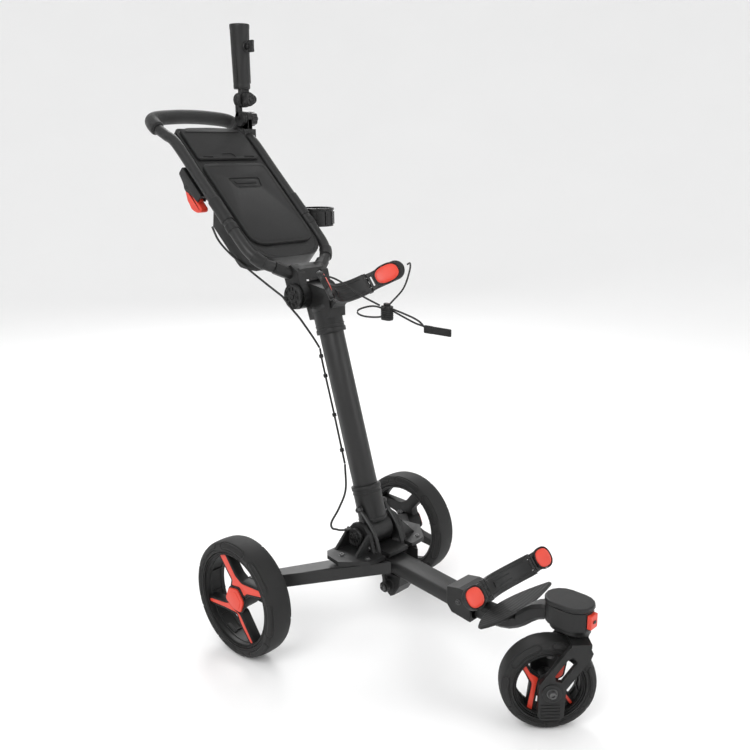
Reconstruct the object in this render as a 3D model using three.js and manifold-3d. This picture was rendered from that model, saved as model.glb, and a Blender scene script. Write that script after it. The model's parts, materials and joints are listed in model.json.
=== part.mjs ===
// A three-wheel push cart for a golf bag, in millimetres, +Z up.
// The cart faces -Y, its left side is +X, and it stands on the plane Z = 0.
// Sketch frame: the rear axle is at Y = 0. The last lines move the cart so that
// the origin is under the middle of its outer box.
import * as THREE from 'three';
import { mergeVertices } from 'three/addons/utils/BufferGeometryUtils.js';
import Module from 'manifold-3d';

const wasm = await Module();
wasm.setup();

// ---------- driving dimensions ----------
const GAP = 0.3; // between pieces that touch
const ORIGIN_SHIFT_Y = 98.45; // sketch frame to the middle of the outer box

const REAR_WHEEL = { radius: 120, width: 56, rim: 97, track: 492, hub: 25, offset: 16 };
const FRONT_WHEEL = { radius: 84, width: 48, rim: 62, hub: 17, offset: 8 };
const AXLE_RADIUS = 6;
const PIN_RADIUS = 8;

const POST_LEAN = THREE.MathUtils.degToRad(16.7); // leans back from upright
const FOLD_PIVOT = { y: -128, z: 222 }; // post folds forward about this X axis
const HANDLE_PIVOT = { y: 48, z: 690 }; // handle folds back about this X axis
const HANDLE_SLOPE = THREE.MathUtils.degToRad(43.4); // rails above the horizontal
const LINK_PIVOT = { y: -187, z: 125 };
const BEAM_SLOPE = THREE.MathUtils.degToRad(6.3); // beam drops towards the front
const SWIVEL = { y: -606 }; // vertical caster axis
const CASTER_TURN = THREE.MathUtils.degToRad(45); // the caster stands turned
const CASTER_TRAIL = 50;
const RAIL_SPACING = 105; // rail centre from the middle plane
const UMBRELLA = { x: 107, y: 382 };

// ---------- finishes ----------
const finish = (color, roughness, metalness = 0) =>
  new THREE.MeshStandardMaterial({ color, roughness, metalness });
const PAINTED = () => finish(0x1d1e20, 0.45, 0.4);
const PLASTIC = () => finish(0x17181a, 0.6);
const RED = () => finish(0xe8452c, 0.5);
const TYRE = () => finish(0x1b1b1c, 0.85);
const FOAM = () => finish(0x161617, 0.95);
const STEEL = () => finish(0x8d9094, 0.35, 0.9);
const CORD = () => finish(0x101011, 0.8);

const cart = new THREE.Group();

function add(name, geometry, material, parent = cart) {
  const mesh = new THREE.Mesh(geometry, material);
  mesh.name = name;
  parent.add(mesh);
  return mesh;
}

// ---------- solids ----------
function solid(geometry) {
  const bare = geometry.index ? geometry.clone() : geometry;
  bare.deleteAttribute('normal');
  bare.deleteAttribute('uv');
  const merged = mergeVertices(bare, 1e-4);
  return new wasm.Manifold(new wasm.Mesh({
    numProp: 3,
    vertProperties: merged.attributes.position.array,
    triVerts: new Uint32Array(merged.index.array),
  }));
}

function toGeometry(manifold) {
  const mesh = manifold.getMesh();
  const geometry = new THREE.BufferGeometry();
  geometry.setAttribute('position', new THREE.BufferAttribute(mesh.vertProperties, mesh.numProp));
  geometry.setIndex(new THREE.BufferAttribute(mesh.triVerts, 1));
  return geometry;
}

const join = (...geometries) =>
  toGeometry(geometries.map(solid).reduce((sum, next) => sum.add(next)));
const cut = (body, ...tools) =>
  toGeometry(tools.map(solid).reduce((rest, tool) => rest.subtract(tool), solid(body)));

const vec = (x, y, z) => new THREE.Vector3(x, y, z);

function block(width, depth, height, x, y, z) {
  return new THREE.BoxGeometry(width, depth, height).translate(x, y, z);
}

// A round bar centred at (x, y, z) with its axis along 'x', 'y' or 'z'.
function bar(axis, radius, length, x, y, z, sides = 24, endRadius = radius) {
  const geometry = new THREE.CylinderGeometry(endRadius, radius, length, sides);
  if (axis === 'x') geometry.rotateZ(-Math.PI / 2);
  if (axis === 'z') geometry.rotateX(Math.PI / 2);
  return geometry.translate(x, y, z);
}

// A side outline, points [y, z], made thick along X and centred on x.
function sidePlate(points, thickness, x) {
  const shape = new THREE.Shape(points.map(([y, z]) => new THREE.Vector2(y, z)));
  const geometry = new THREE.ExtrudeGeometry(shape, { depth: thickness, bevelEnabled: false });
  const turn = new THREE.Matrix4().makeBasis(vec(0, 1, 0), vec(0, 0, 1), vec(1, 0, 0));
  return geometry.applyMatrix4(turn).translate(x - thickness / 2, 0, 0);
}

// A section, points [x, n], made long from one point to another in the middle plane or beside it.
function profileBar(section, from, to) {
  const along = to.clone().sub(from);
  const direction = along.clone().normalize();
  const side = direction.clone().cross(vec(0, 0, 1)).normalize();
  if (Math.abs(direction.x) < 1e-6) side.set(1, 0, 0);
  const normal = direction.clone().cross(side);
  const shape = new THREE.Shape(section.map(([x, n]) => new THREE.Vector2(x, n)));
  const geometry = new THREE.ExtrudeGeometry(shape, { depth: along.length(), bevelEnabled: false });
  geometry.applyMatrix4(new THREE.Matrix4().makeBasis(side, normal, direction));
  return geometry.translate(from.x, from.y, from.z);
}

function roundedRect(width, height, corner, steps = 2) {
  const points = [];
  const centres = [[1, 1, 0], [-1, 1, 90], [-1, -1, 180], [1, -1, 270]];
  for (const [sx, sy, start] of centres) {
    for (let i = 0; i <= steps; i += 1) {
      const angle = THREE.MathUtils.degToRad(start + (90 * i) / steps);
      points.push([
        sx * (width / 2 - corner) + corner * Math.cos(angle),
        sy * (height / 2 - corner) + corner * Math.sin(angle),
      ]);
    }
  }
  return points;
}

function ellipse(radiusX, radiusY, sides) {
  return Array.from({ length: sides }, (_, i) => {
    const angle = (2 * Math.PI * i) / sides;
    return [radiusX * Math.cos(angle), radiusY * Math.sin(angle)];
  });
}

// A section carried along a smooth curve through the points.
function sweep(section, points, steps) {
  const path = new THREE.CatmullRomCurve3(points.map((p) => vec(...p)), false, 'centripetal');
  const shape = new THREE.Shape(section.map(([x, y]) => new THREE.Vector2(x, y)));
  return new THREE.ExtrudeGeometry(shape, { steps, extrudePath: path, bevelEnabled: false });
}

const tube = (points, radius, sides, steps) => sweep(ellipse(radius, radius, sides), points, steps);

// A ring about the X axis. The profile is a closed loop of [radius, offset along the axis].
function ringAboutX(profile, sides) {
  const loop = [...profile, profile[0]].map(([r, a]) => new THREE.Vector2(r, a));
  return new THREE.LatheGeometry(loop, sides).rotateZ(-Math.PI / 2);
}

function mirrorAcross(geometry) {
  const mirrored = geometry.clone().scale(-1, 1, 1);
  const { array } = mirrored.attributes.position;
  for (let i = 0; i < array.length; i += 9) {
    for (let k = 0; k < 3; k += 1) {
      [array[i + 3 + k], array[i + 6 + k]] = [array[i + 6 + k], array[i + 3 + k]];
    }
  }
  return mirrored;
}
const SIDES = [{ side: 'right', sign: -1 }, { side: 'left', sign: 1 }];

// Points on the plane of the rails: x, and the distance up along the plane from the handle pivot.
const onRailPlane = (x, along, lift = 0) => [
  x,
  66 + along * Math.cos(HANDLE_SLOPE) - lift * Math.sin(HANDLE_SLOPE),
  731 + along * Math.sin(HANDLE_SLOPE) + lift * Math.cos(HANDLE_SLOPE),
];
const railFrame = new THREE.Matrix4().makeBasis(
  vec(1, 0, 0),
  vec(0, Math.cos(HANDLE_SLOPE), Math.sin(HANDLE_SLOPE)),
  vec(0, -Math.sin(HANDLE_SLOPE), Math.cos(HANDLE_SLOPE)),
).setPosition(...onRailPlane(0, 0));

// ---------- wheels ----------
function tyreGeometry({ radius, width, rim }) {
  const half = width / 2;
  const profile = [
    [rim, half - 4], [rim, -half + 4], [radius - 5, -half], [radius - 1, -half + 5], [radius, 0],
    [radius - 1, half - 5], [radius - 5, half],
  ];
  return ringAboutX(profile, 32);
}

// The outer face of the wheel is its -X side.
function rimGeometry({ width, rim, hub, offset }, spokeAngles) {
  const half = width / 2;
  const barrel = ringAboutX([
    [rim - GAP, -half + 5], [rim - GAP, half - 6], [rim - 4.5, half - 6], [rim - 4.5, -half + 5],
  ], 32);
  const spokes = spokeAngles.map((degrees) => block(20, 11, rim - 3, 0, 0, rim / 2)
    .rotateX(THREE.MathUtils.degToRad(degrees - 90)).translate(-offset + 4, 0, 0));
  const boss = bar('x', hub, half + 6, -offset / 2 + 2, 0, 0, 16);
  return cut(join(barrel, ...spokes, boss), bar('x', AXLE_RADIUS + GAP, 2 * width, 0, 0, 0, 16));
}

const REAR_SPOKES = [64, 156, 242, 338];
const FRONT_SPOKES = [40, 122, 222, 298];
for (const { side, sign } of SIDES) {
  const wheel = new THREE.Group();
  wheel.position.set((sign * REAR_WHEEL.track) / 2, 0, REAR_WHEEL.radius);
  wheel.rotation.z = sign > 0 ? Math.PI : 0;
  add(`tyre_${side}`, tyreGeometry(REAR_WHEEL), TYRE(), wheel);
  add(`rim_${side}`, rimGeometry(REAR_WHEEL, REAR_SPOKES), PLASTIC(), wheel);
  cart.add(wheel);
}

const caster = new THREE.Group();
caster.position.set(0, SWIVEL.y, 0);
caster.rotation.z = CASTER_TURN;
const frontWheel = new THREE.Group();
frontWheel.position.set(0, CASTER_TRAIL, FRONT_WHEEL.radius);
add('tyre_front', tyreGeometry(FRONT_WHEEL), TYRE(), frontWheel);
add('rim_front', rimGeometry(FRONT_WHEEL, FRONT_SPOKES), PLASTIC(), frontWheel);
caster.add(frontWheel);
cart.add(caster);

// ---------- caster fork ----------
// The fork's own frame: X is the axle, +Y trails, Z up.
const FORK = { armX: 36, armThickness: 9, crownBottom: 166, crownTop: 173.5 };
function forkGeometry() {
  const outline = [
    [73, 98], [24, 166], [14, 172.5], [-2, 173], [-12, 168], [-17, 157], [-13, 145],
    [26, 90], [28, 40], [34, 32], [66, 32], [73, 40],
  ];
  const slot = [[16, 150], [25, 146], [46, 116], [44, 106], [34, 104], [9, 140]];
  const arms = SIDES.map(({ sign }) => cut(
    sidePlate(outline, FORK.armThickness, sign * FORK.armX),
    sidePlate(slot, FORK.armThickness + 2, sign * FORK.armX),
    bar('x', AXLE_RADIUS + GAP, 20, sign * FORK.armX, CASTER_TRAIL, FRONT_WHEEL.radius, 12),
  ));
  const thickness = FORK.crownTop - FORK.crownBottom;
  const crown = block(
    2 * FORK.armX + FORK.armThickness, 34, thickness, 0, 3, FORK.crownBottom + thickness / 2);
  const collar = bar('z', 19, 4, 0, 0, 173.7, 24);
  return join(crown, collar, ...arms);
}
add('caster_fork', forkGeometry(), PLASTIC(), caster);
add('front_axle', bar('x', AXLE_RADIUS, 94, 0, CASTER_TRAIL, FRONT_WHEEL.radius, 12), STEEL(), caster);

// ---------- caster housing, nose arm and beam ----------
const HOUSING = { y: -587, length: 86, width: 60, bottom: 176, top: 221 };
function stadium(width, length, steps = 8) {
  const radius = width / 2;
  const straight = length / 2 - radius;
  const points = [];
  for (let i = 0; i <= steps; i += 1) {
    const angle = (Math.PI * i) / steps;
    points.push([radius * Math.cos(angle), straight + radius * Math.sin(angle)]);
  }
  for (let i = 0; i <= steps; i += 1) {
    const angle = Math.PI + (Math.PI * i) / steps;
    points.push([radius * Math.cos(angle), -straight + radius * Math.sin(angle)]);
  }
  return points;
}
function upright(section, bottom, top, x, y) {
  const shape = new THREE.Shape(section.map(([a, b]) => new THREE.Vector2(a, b)));
  const geometry = new THREE.ExtrudeGeometry(shape, { depth: top - bottom, bevelEnabled: false });
  return geometry.translate(x, y, bottom);
}
const LOCK_TAB = { y: -630, z: 205 };
add('caster_housing', cut(
  join(
    upright(stadium(HOUSING.width, HOUSING.length), HOUSING.bottom + 10, HOUSING.top, 0, HOUSING.y),
    upright(stadium(50, 74), HOUSING.bottom, HOUSING.bottom + 11, 0, HOUSING.y - 3),
  ),
  block(22, 12, 26, 0, LOCK_TAB.y, LOCK_TAB.z),
), PLASTIC());
add('housing_cap', upright(
  stadium(HOUSING.width + 4, HOUSING.length + 4), HOUSING.top + GAP, HOUSING.top + 10, 0, HOUSING.y,
), PLASTIC());
add('caster_lock', block(21.4, 9, 25.4, 0, LOCK_TAB.y - 1.2, LOCK_TAB.z), RED());

const beamAt = (y, lift = 0) => vec(0, y, 176 + (y + 200) * Math.tan(BEAM_SLOPE) - 10 + lift);
const BEAM = { width: 50, height: 28, rear: -150, front: -388 };
add('front_beam', profileBar(
  roundedRect(BEAM.width, BEAM.height, 5), beamAt(BEAM.rear), beamAt(BEAM.front),
), PAINTED());

const CRADLE = { front: -486, rear: -440, thickness: 6, halfSpan: 110, low: 163, rise: 14, taper: 36 };
const noseSection = roundedRect(40, 28, 6, 1);
const nosePoints = [
  [0, -401.6, 143.6], [0, -418, 142.5], [0, -444, 143], [0, -472, 149], [0, -496, 163],
  [0, -516, 180], [0, -534, 192], [0, -560, 199],
];
add('nose_arm', cut(
  sweep(noseSection, nosePoints, 10),
  block(300, 80, 40, 0, -450, CRADLE.low - GAP + 20),
  upright(stadium(HOUSING.width + 2 * GAP, HOUSING.length + 2 * GAP), 130, 250, 0, HOUSING.y),
), PLASTIC());

// ---------- hub that carries the post and the rear arms ----------
const TOWER = { x: 45, thickness: 9, baseBottom: 188.3, baseTop: 196.3 };
const LINK_CLEARANCE = { inner: 27.5, outer: 40.2 };
// Each rear arm is a tapered bar in an upright plane: points [distance out from its root, z].
const ARM = {
  width: 28, root: { x: 30, y: -200 }, tip: { x: 206, y: -14 },
  top: [187.9, 157], bottom: [164, 129],
};
const armRun = Math.hypot(ARM.tip.x - ARM.root.x, ARM.tip.y - ARM.root.y);
const armHeading = Math.atan2(ARM.tip.y - ARM.root.y, ARM.tip.x - ARM.root.x);
function armPlate(points, width, sign) {
  const plate = sidePlate(points, width, 0).rotateZ(armHeading - Math.PI / 2);
  plate.translate(ARM.root.x, ARM.root.y, 0);
  return sign > 0 ? plate : mirrorAcross(plate);
}
// Seen from above an arm is widest at its root.
function armPlan(sign) {
  const half = ARM.width / 2;
  const outline = upright(
    [[-half, 0], [half + 18, 0], [half + 18, 90], [half, armRun], [-half, armRun]].map(
      ([back, out]) => [-back, out]),
    110, 200, 0, 0);
  outline.rotateZ(armHeading - Math.PI / 2).translate(ARM.root.x, ARM.root.y, 0);
  return sign > 0 ? outline : mirrorAcross(outline);
}
function hubGeometry() {
  const { x, thickness, baseTop, baseBottom } = TOWER;
  const base = upright([
    [-50, -194], [50, -194], [80, -191], [122, -144], [115, -106], [102, -92],
    [-102, -92], [-115, -106], [-122, -144], [-80, -191],
  ], baseBottom, baseTop, 0, 0);
  // Below the base a wedge fills the space down to each arm.
  const armTop = (t) => ARM.top[0] + ((ARM.top[1] - ARM.top[0]) * t) / armRun;
  const wedges = SIDES.map(({ sign }) => armPlate([
    [24, armTop(24) + GAP], [104, armTop(104) + GAP], [104, baseTop - 1], [24, baseTop - 1],
  ], ARM.width - 2, sign));
  const cheek = [
    [-172, 190], [-158, 232], [-142, 246], [-128, 250], [-114, 246], [-100, 230], [-94, 190],
  ];
  const plates = SIDES.map(({ sign }) => sidePlate(cheek, thickness, sign * x));
  const gussets = SIDES.flatMap(({ sign }) => [-156, -100].map((y) => {
    const web = new THREE.Shape([[48, 190], [94, 190], [48, 234]].map(
      ([a, z]) => new THREE.Vector2(sign * a, z)));
    return new THREE.ExtrudeGeometry(web, { depth: 6, bevelEnabled: false })
      .rotateX(Math.PI / 2).translate(0, y + 3, 0);
  }));
  const slots = SIDES.map(({ sign }) => block(
    LINK_CLEARANCE.outer - LINK_CLEARANCE.inner, 100, 90,
    (sign * (LINK_CLEARANCE.outer + LINK_CLEARANCE.inner)) / 2, -188, 200));
  return cut(
    join(base, ...wedges, ...plates, ...gussets),
    bar('x', PIN_RADIUS + GAP, 140, 0, FOLD_PIVOT.y, FOLD_PIVOT.z, 12),
    bar('x', 28.5, 2 * x - thickness, 0, FOLD_PIVOT.y, FOLD_PIVOT.z, 20),
    ...slots,
  );
}
add('hub_tower', hubGeometry(), PLASTIC());

function foldPin(y, z, outer, headRadius, headThickness) {
  return join(
    bar('x', PIN_RADIUS, 2 * outer + 2, 0, y, z, 12),
    bar('x', headRadius, headThickness, -outer - headThickness / 2, y, z, 24, headRadius - 2),
    bar('x', headRadius - 2, headThickness, outer + headThickness / 2, y, z, 24, headRadius),
  );
}
add('fold_pin', foldPin(FOLD_PIVOT.y, FOLD_PIVOT.z, TOWER.x + TOWER.thickness / 2 + 2 * GAP, 18, 6), PLASTIC());

for (const { side, sign } of SIDES) {
  const profile = armPlate([
    [0, ARM.bottom[0]], [armRun, ARM.bottom[1]], [armRun, ARM.top[1]], [0, ARM.top[0]],
  ], 120, sign);
  const plan = armPlan(sign);
  const arm = toGeometry(solid(profile).intersect(solid(plan)));
  const bracket = block(24, 40, 44, sign * 206, -4, 124);
  add(`rear_arm_${side}`, cut(
    join(arm, bracket),
    bar('x', AXLE_RADIUS + GAP, 60, sign * 206, 0, REAR_WHEEL.radius, 16),
    block(2 * LINK_CLEARANCE.outer, 200, 90, 0, -200, 176),
  ), PAINTED());
  add(`axle_${side}`, join(
    bar('x', AXLE_RADIUS, 78, sign * 230, 0, REAR_WHEEL.radius, 12),
    bar('x', 9, 5, sign * 191, 0, REAR_WHEEL.radius, 12),
  ), STEEL());
}

function linkBracketGeometry() {
  const outline = [[-172, 151], [-172, 128], [-182, 106], [-190, 100], [-200, 106], [-214, 128], [-216, 150]];
  const plate = sidePlate(outline, 44, 0);
  return join(
    cut(plate, block(60, 60, 20, 0, -195, beamAt(-195).z - BEAM.height / 2 - GAP + 10)
),
    bar('x', 16, 52, 0, LINK_PIVOT.y, LINK_PIVOT.z, 20),
    bar('x', 6, 80, 0, LINK_PIVOT.y, LINK_PIVOT.z, 12),
  );
}
add('link_bracket', linkBracketGeometry(), PLASTIC());

// ---------- links between the lower bracket and the post ----------
const LINK_X = 34;
const linkPath = [[-118, 271], [-142, 250], [-161, 225], [-173, 190], [-184, 150], [-187, 125]];
for (const { side, sign } of SIDES) {
  const points = linkPath.map(([y, z]) => [sign * LINK_X, y, z]);
  add(`link_${side}`, cut(
    join(
      sweep(roundedRect(9, 7, 2, 1), points, 9),
      bar('x', 11, 7, sign * LINK_X, LINK_PIVOT.y, LINK_PIVOT.z, 12),
      bar('x', 7, 7, sign * LINK_X, -118, 271, 12),
    ),
    bar('x', 6 + GAP, 20, sign * LINK_X, LINK_PIVOT.y, LINK_PIVOT.z, 12),
  ), PAINTED());
}

// ---------- post ----------
const postDirection = vec(0, Math.sin(POST_LEAN), Math.cos(POST_LEAN));
const postPoint = (along) => vec(0, FOLD_PIVOT.y + 1, FOLD_PIVOT.z).add(
  postDirection.clone().multiplyScalar(along),
);
// A drop-shaped section: round in front, narrower at the back, where the cable runs.
function postSection(grow = 0) {
  const points = [];
  const sides = 20;
  for (let i = 0; i < sides; i += 1) {
    const angle = (2 * Math.PI * i) / sides;
    const back = Math.cos(angle);
    const halfWidth = (23.5 + grow) * (1 - 0.13 * back);
    points.push([halfWidth * Math.sin(angle) * -1, (27 + grow) * back]);
  }
  return points.reverse();
}
const POST = { collarTop: 92, headBottom: 412, headTop: 470 };
add('post', profileBar(postSection(), postPoint(POST.collarTop - 30 + GAP), postPoint(POST.headBottom + 30)), PAINTED());
add('post_foot', cut(
  join(
    profileBar(postSection(4), postPoint(18), postPoint(POST.collarTop)),
    bar('x', 27, 52, 0, FOLD_PIVOT.y, FOLD_PIVOT.z, 24),
  ),
  profileBar(postSection(GAP), postPoint(POST.collarTop - 30), postPoint(POST.collarTop + 20)),
  bar('x', PIN_RADIUS + GAP, 80, 0, FOLD_PIVOT.y, FOLD_PIVOT.z, 16),
), PLASTIC());
add('post_head', cut(
  join(
    profileBar(postSection(4), postPoint(POST.headBottom), postPoint(POST.headTop)),
    bar('x', 27, 44, 0, HANDLE_PIVOT.y, HANDLE_PIVOT.z, 24),
    sidePlate([[-29, 652], [-29, 706], [30, 716], [48, 690], [30, 640]], 44, 0),
  ),
  profileBar(postSection(GAP), postPoint(POST.headBottom - 20), postPoint(POST.headBottom + 30 + GAP)),
  bar('x', PIN_RADIUS + GAP, 80, 0, HANDLE_PIVOT.y, HANDLE_PIVOT.z, 16),
), PLASTIC());

// ---------- bag brackets: a hollowed band with a folding wing at each end ----------
// Bracket frame: X across, -Y towards the bag, Z up along the bag, which leans back.
const BAG_LEAN = THREE.MathUtils.degToRad(36.7);
const BAND_THICKNESS = 7;
const WING = { thickness: 8.4, knuckle: 4.2, hingeGap: 5 };
const bagAxis = vec(0, Math.sin(BAG_LEAN), Math.cos(BAG_LEAN));
const awayFromBag = vec(0, Math.cos(BAG_LEAN), -Math.sin(BAG_LEAN));
const BRACKETS = {
  upper: { y: -60, z: 714.5, halfWidth: 50, depth: 24, height: 42, wing: 82, splay: 44.4 },
  lower: { y: -460.6, z: 226.5, halfWidth: 64, depth: 24, height: 40, wing: 60, splay: 0 },
};

function bandGeometry({ halfWidth, depth, height }) {
  const inner = [];
  const outer = [];
  const steps = 10;
  for (let i = 0; i <= steps; i += 1) {
    const t = (2 * i) / steps - 1;
    const back = depth * (1 - t * t);
    inner.push([halfWidth * t, back - BAND_THICKNESS / 2]);
    outer.push([halfWidth * t, back + BAND_THICKNESS / 2]);
  }
  return upright([...inner, ...outer.reverse()], -height / 2, height / 2, 0, 0);
}

function wingGeometry(sign, { height, wing }) {
  const half = height / 2 - 1;
  const points = [[0, -half]];
  for (let i = 0; i <= 8; i += 1) {
    const angle = -Math.PI / 2 + (Math.PI * i) / 8;
    points.push([wing - half + half * Math.cos(angle), half * Math.sin(angle)]);
  }
  points.push([0, half]);
  const shape = new THREE.Shape(points.map(([x, z]) => new THREE.Vector2(sign * x, z)));
  const plate = new THREE.ExtrudeGeometry(shape, { depth: WING.thickness, bevelEnabled: false });
  plate.rotateX(Math.PI / 2).translate(0, WING.thickness / 2, 0);
  return join(plate, bar('z', WING.knuckle, height - 2, 0, 0, 0, 12));
}

function addBagBracket(name, size, arm) {
  const frame = new THREE.Group();
  const turn = new THREE.Matrix4().makeBasis(vec(1, 0, 0), awayFromBag, bagAxis);
  frame.applyMatrix4(turn.setPosition(0, size.y, size.z));
  const toFrame = turn.clone().invert();
  const band = arm ? join(bandGeometry(size), arm.clone().applyMatrix4(toFrame)) : bandGeometry(size);
  add(`${name}_band`, band, PLASTIC(), frame);
  for (const { side, sign } of SIDES) {
    const hinge = new THREE.Group();
    hinge.position.set(sign * (size.halfWidth + WING.hingeGap), 0, 0);
    hinge.rotation.z = -sign * THREE.MathUtils.degToRad(size.splay);
    add(`${name}_wing_${side}`, wingGeometry(sign, size), PLASTIC(), hinge);
    frame.add(hinge);
  }
  cart.add(frame);
}
addBagBracket('upper_bag', BRACKETS.upper,
  sidePlate([[-29.4, 670], [-29.4, 704], [-38, 711], [-47, 700], [-42, 682]], 36, 0));
addBagBracket('lower_bag', BRACKETS.lower,
  sidePlate([[-400.3, 164], [-400.3, 184], [-430, 214], [-446, 208], [-424, 184], [-416, 164]], 40, 0));

// The saddle clamps round the front end of the beam and carries the lower band.
add('bracket_saddle', cut(
  sidePlate([[-344, 146], [-344, 181], [-372, 186], [-400, 184], [-400, 126], [-356, 132]], 66, 0),
  profileBar(roundedRect(BEAM.width + 2 * GAP, BEAM.height + 2 * GAP, 5), beamAt(-300), beamAt(-500)),
), PLASTIC());

// ---------- cradle under the bag: a bowed strip that narrows to its two tips ----------
function cradleGeometry() {
  const under = [];
  const over = [];
  const front = [];
  const rear = [];
  const steps = 12;
  for (let i = 0; i <= steps; i += 1) {
    const t = (2 * i) / steps - 1;
    const x = CRADLE.halfSpan * t;
    const z = CRADLE.low + CRADLE.rise * t * t;
    under.push([x, z]);
    over.push([x, z + CRADLE.thickness]);
    front.push([x, CRADLE.front + 3 * t * t]);
    rear.push([x, CRADLE.rear - CRADLE.taper * t * t]);
  }
  const shape = new THREE.Shape([...under, ...over.reverse()].map(([x, z]) => new THREE.Vector2(x, z)));
  const band = new THREE.ExtrudeGeometry(shape, { depth: 90, bevelEnabled: false });
  band.rotateX(Math.PI / 2).translate(0, CRADLE.rear + 10, 0);
  const outline = upright([...front, ...rear.reverse()], 100, 300, 0, 0);
  return toGeometry(solid(band).intersect(solid(outline)));
}
add('bag_cradle', cradleGeometry(), TYRE());

// ---------- handle ----------
const rail = new THREE.Group();
rail.applyMatrix4(railFrame);
cart.add(rail);

const YOKE_LUG_X = 32;
const railPoints = (sign) => [
  onRailPlane(sign * 66, 24), onRailPlane(sign * 86, 38), onRailPlane(sign * 100, 62),
  onRailPlane(sign * RAIL_SPACING, 95), onRailPlane(sign * RAIL_SPACING, 180),
  onRailPlane(sign * RAIL_SPACING, 290), [sign * 106, 344, 994], [sign * 108, 372, 1009],
  [sign * 110, 400, 1022.8],
];
add('handle_yoke', cut(
  join(
    ...SIDES.map(({ sign }) => bar('x', 27, 19, sign * YOKE_LUG_X, HANDLE_PIVOT.y, HANDLE_PIVOT.z, 20)),
    ...SIDES.map(({ sign }) => sidePlate(
      [[30, 700], [40, 738], [62, 752], [88, 740], [74, 700], [60, 680]], 19, sign * YOKE_LUG_X)),
    sidePlate([[40, 722], [46, 744], [68, 752], [86, 742], [78, 722]], 64, 0),
    ...SIDES.map(({ sign }) => sweep(ellipse(13, 15, 10), [
      onRailPlane(sign * 20, 0), onRailPlane(sign * 44, 8), onRailPlane(sign * 65.7, 23.8),
    ], 5)),
  ),
  bar('x', PIN_RADIUS + GAP, 120, 0, HANDLE_PIVOT.y, HANDLE_PIVOT.z, 16),
  bar('x', 28.5, 45, 0, HANDLE_PIVOT.y, HANDLE_PIVOT.z, 24),
), PLASTIC());
add('handle_pin', foldPin(HANDLE_PIVOT.y, HANDLE_PIVOT.z, 41.5 + GAP, 26, 7), PLASTIC());
for (const { side, sign } of SIDES) {
  add(`rail_${side}`, tube(railPoints(sign), 11.5, 10, 18), PAINTED());
}
add('foam_grip', tube([
  [-110, 401.2, 1023.8], [-111, 414, 1032], [-106, 427, 1041], [-88, 433, 1047], [-40, 435, 1051], [0, 435.5, 1052],
  [40, 435, 1051], [88, 433, 1047], [106, 427, 1041], [111, 414, 1032], [110, 401.2, 1023.8],
], 15.75, 10, 20), FOAM());

// ---------- console between the rails, in the rails' own frame ----------
// x across, y up along the rails, z out of the lid.
const CONSOLE = { half: 91, bottom: 46, top: 424, deepTo: 212, depth: 58, shallow: 14, wall: 4 };
const LID = { half: 85, bottom: 80, top: 312, thickness: 5, seat: 3 };
function plan(half, bottom, top, bottomCorner, topCorner) {
  const shape = new THREE.Shape();
  shape.moveTo(-half + bottomCorner, bottom);
  shape.lineTo(half - bottomCorner, bottom);
  shape.absarc(half - bottomCorner, bottom + bottomCorner, bottomCorner, -Math.PI / 2, 0, false);
  shape.absarc(half - topCorner, top - topCorner, topCorner, 0, Math.PI / 2, false);
  shape.absarc(-half + topCorner, top - topCorner, topCorner, Math.PI / 2, Math.PI, false);
  shape.absarc(-half + bottomCorner, bottom + bottomCorner, bottomCorner, Math.PI, 1.5 * Math.PI, false);
  return shape;
}
function slab(shape, low, high) {
  const geometry = new THREE.ExtrudeGeometry(shape, { depth: high - low, bevelEnabled: false, curveSegments: 4 });
  return geometry.translate(0, 0, low);
}
function consoleGeometry() {
  const c = CONSOLE;
  const outer = solid(slab(plan(c.half, c.bottom, c.top, 46, 14), -c.depth - 4, LID.seat - GAP));
  const side = solid(sidePlate([
    [40, 10], [40, -16], [54, -44], [80, -c.depth], [c.deepTo - 16, -c.depth],
    [c.deepTo + 16, -c.shallow], [430, -c.shallow], [430, 10],
  ], 200, 0));
  const hollow = solid(slab(plan(c.half - 10, LID.bottom + 4, LID.top - 4, 30, 8), -c.depth + c.wall, 20));
  const hollowSide = solid(sidePlate([
    [60, 20], [84, -c.depth + c.wall], [c.deepTo - 20, -c.depth + c.wall],
    [c.deepTo + 10, -c.shallow + c.wall], [430, -c.shallow + c.wall], [430, 20],
  ], 200, 0));
  const tray = solid(slab(plan(72, 332, 414, 4, 10), -c.shallow + c.wall, 20));
  return toGeometry(outer.intersect(side).subtract(hollow.intersect(hollowSide)).subtract(tray));
}
add('console_box', consoleGeometry(), PLASTIC(), rail);
add('console_lid', slab(plan(LID.half, LID.bottom, LID.top, 24, 12), LID.seat, LID.seat + LID.thickness),
  PLASTIC(), rail);
add('card_cover', slab(plan(82, 326, 424, 4, 14), LID.seat, LID.seat + 5), PLASTIC(), rail);

// ---------- parking brake lever under the right rail ----------
add('brake_housing', cut(
  block(22, 84, 20, -RAIL_SPACING, 284, -24),
  block(12.6, 62, 22, -RAIL_SPACING, 268, -34),
), PLASTIC(), rail);
add('brake_lever', join(
  sidePlate([[286, -26], [295, -30], [294, -44], [240, -44], [244, -30]], 12, -RAIL_SPACING),
  sidePlate([
    [296, -35], [290, -46], [272, -57], [250, -61], [232, -54], [222, -42], [226, -35],
  ], 20, -RAIL_SPACING),
), RED(), rail);

// ---------- cup holder beside the left rail ----------
const CUP = { x: 160, y: 200, z: 829, radius: 38, wall: 3.5, height: 36 };
add('cup_mount', cut(
  block(11.4, 26, 40, 115.7, 206, 838),
  tube(railPoints(1), 11.5 + GAP, 10, 18),
), PLASTIC());
add('cup_holder', cut(
  join(
    bar('z', CUP.radius, CUP.height, CUP.x, CUP.y, CUP.z, 28),
    block(6, 20, 24, 124.7, CUP.y + 2, CUP.z + 4),
  ),
  bar('z', CUP.radius - CUP.wall, CUP.height + 2, CUP.x, CUP.y, CUP.z + 5, 28),
), PLASTIC());

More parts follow.
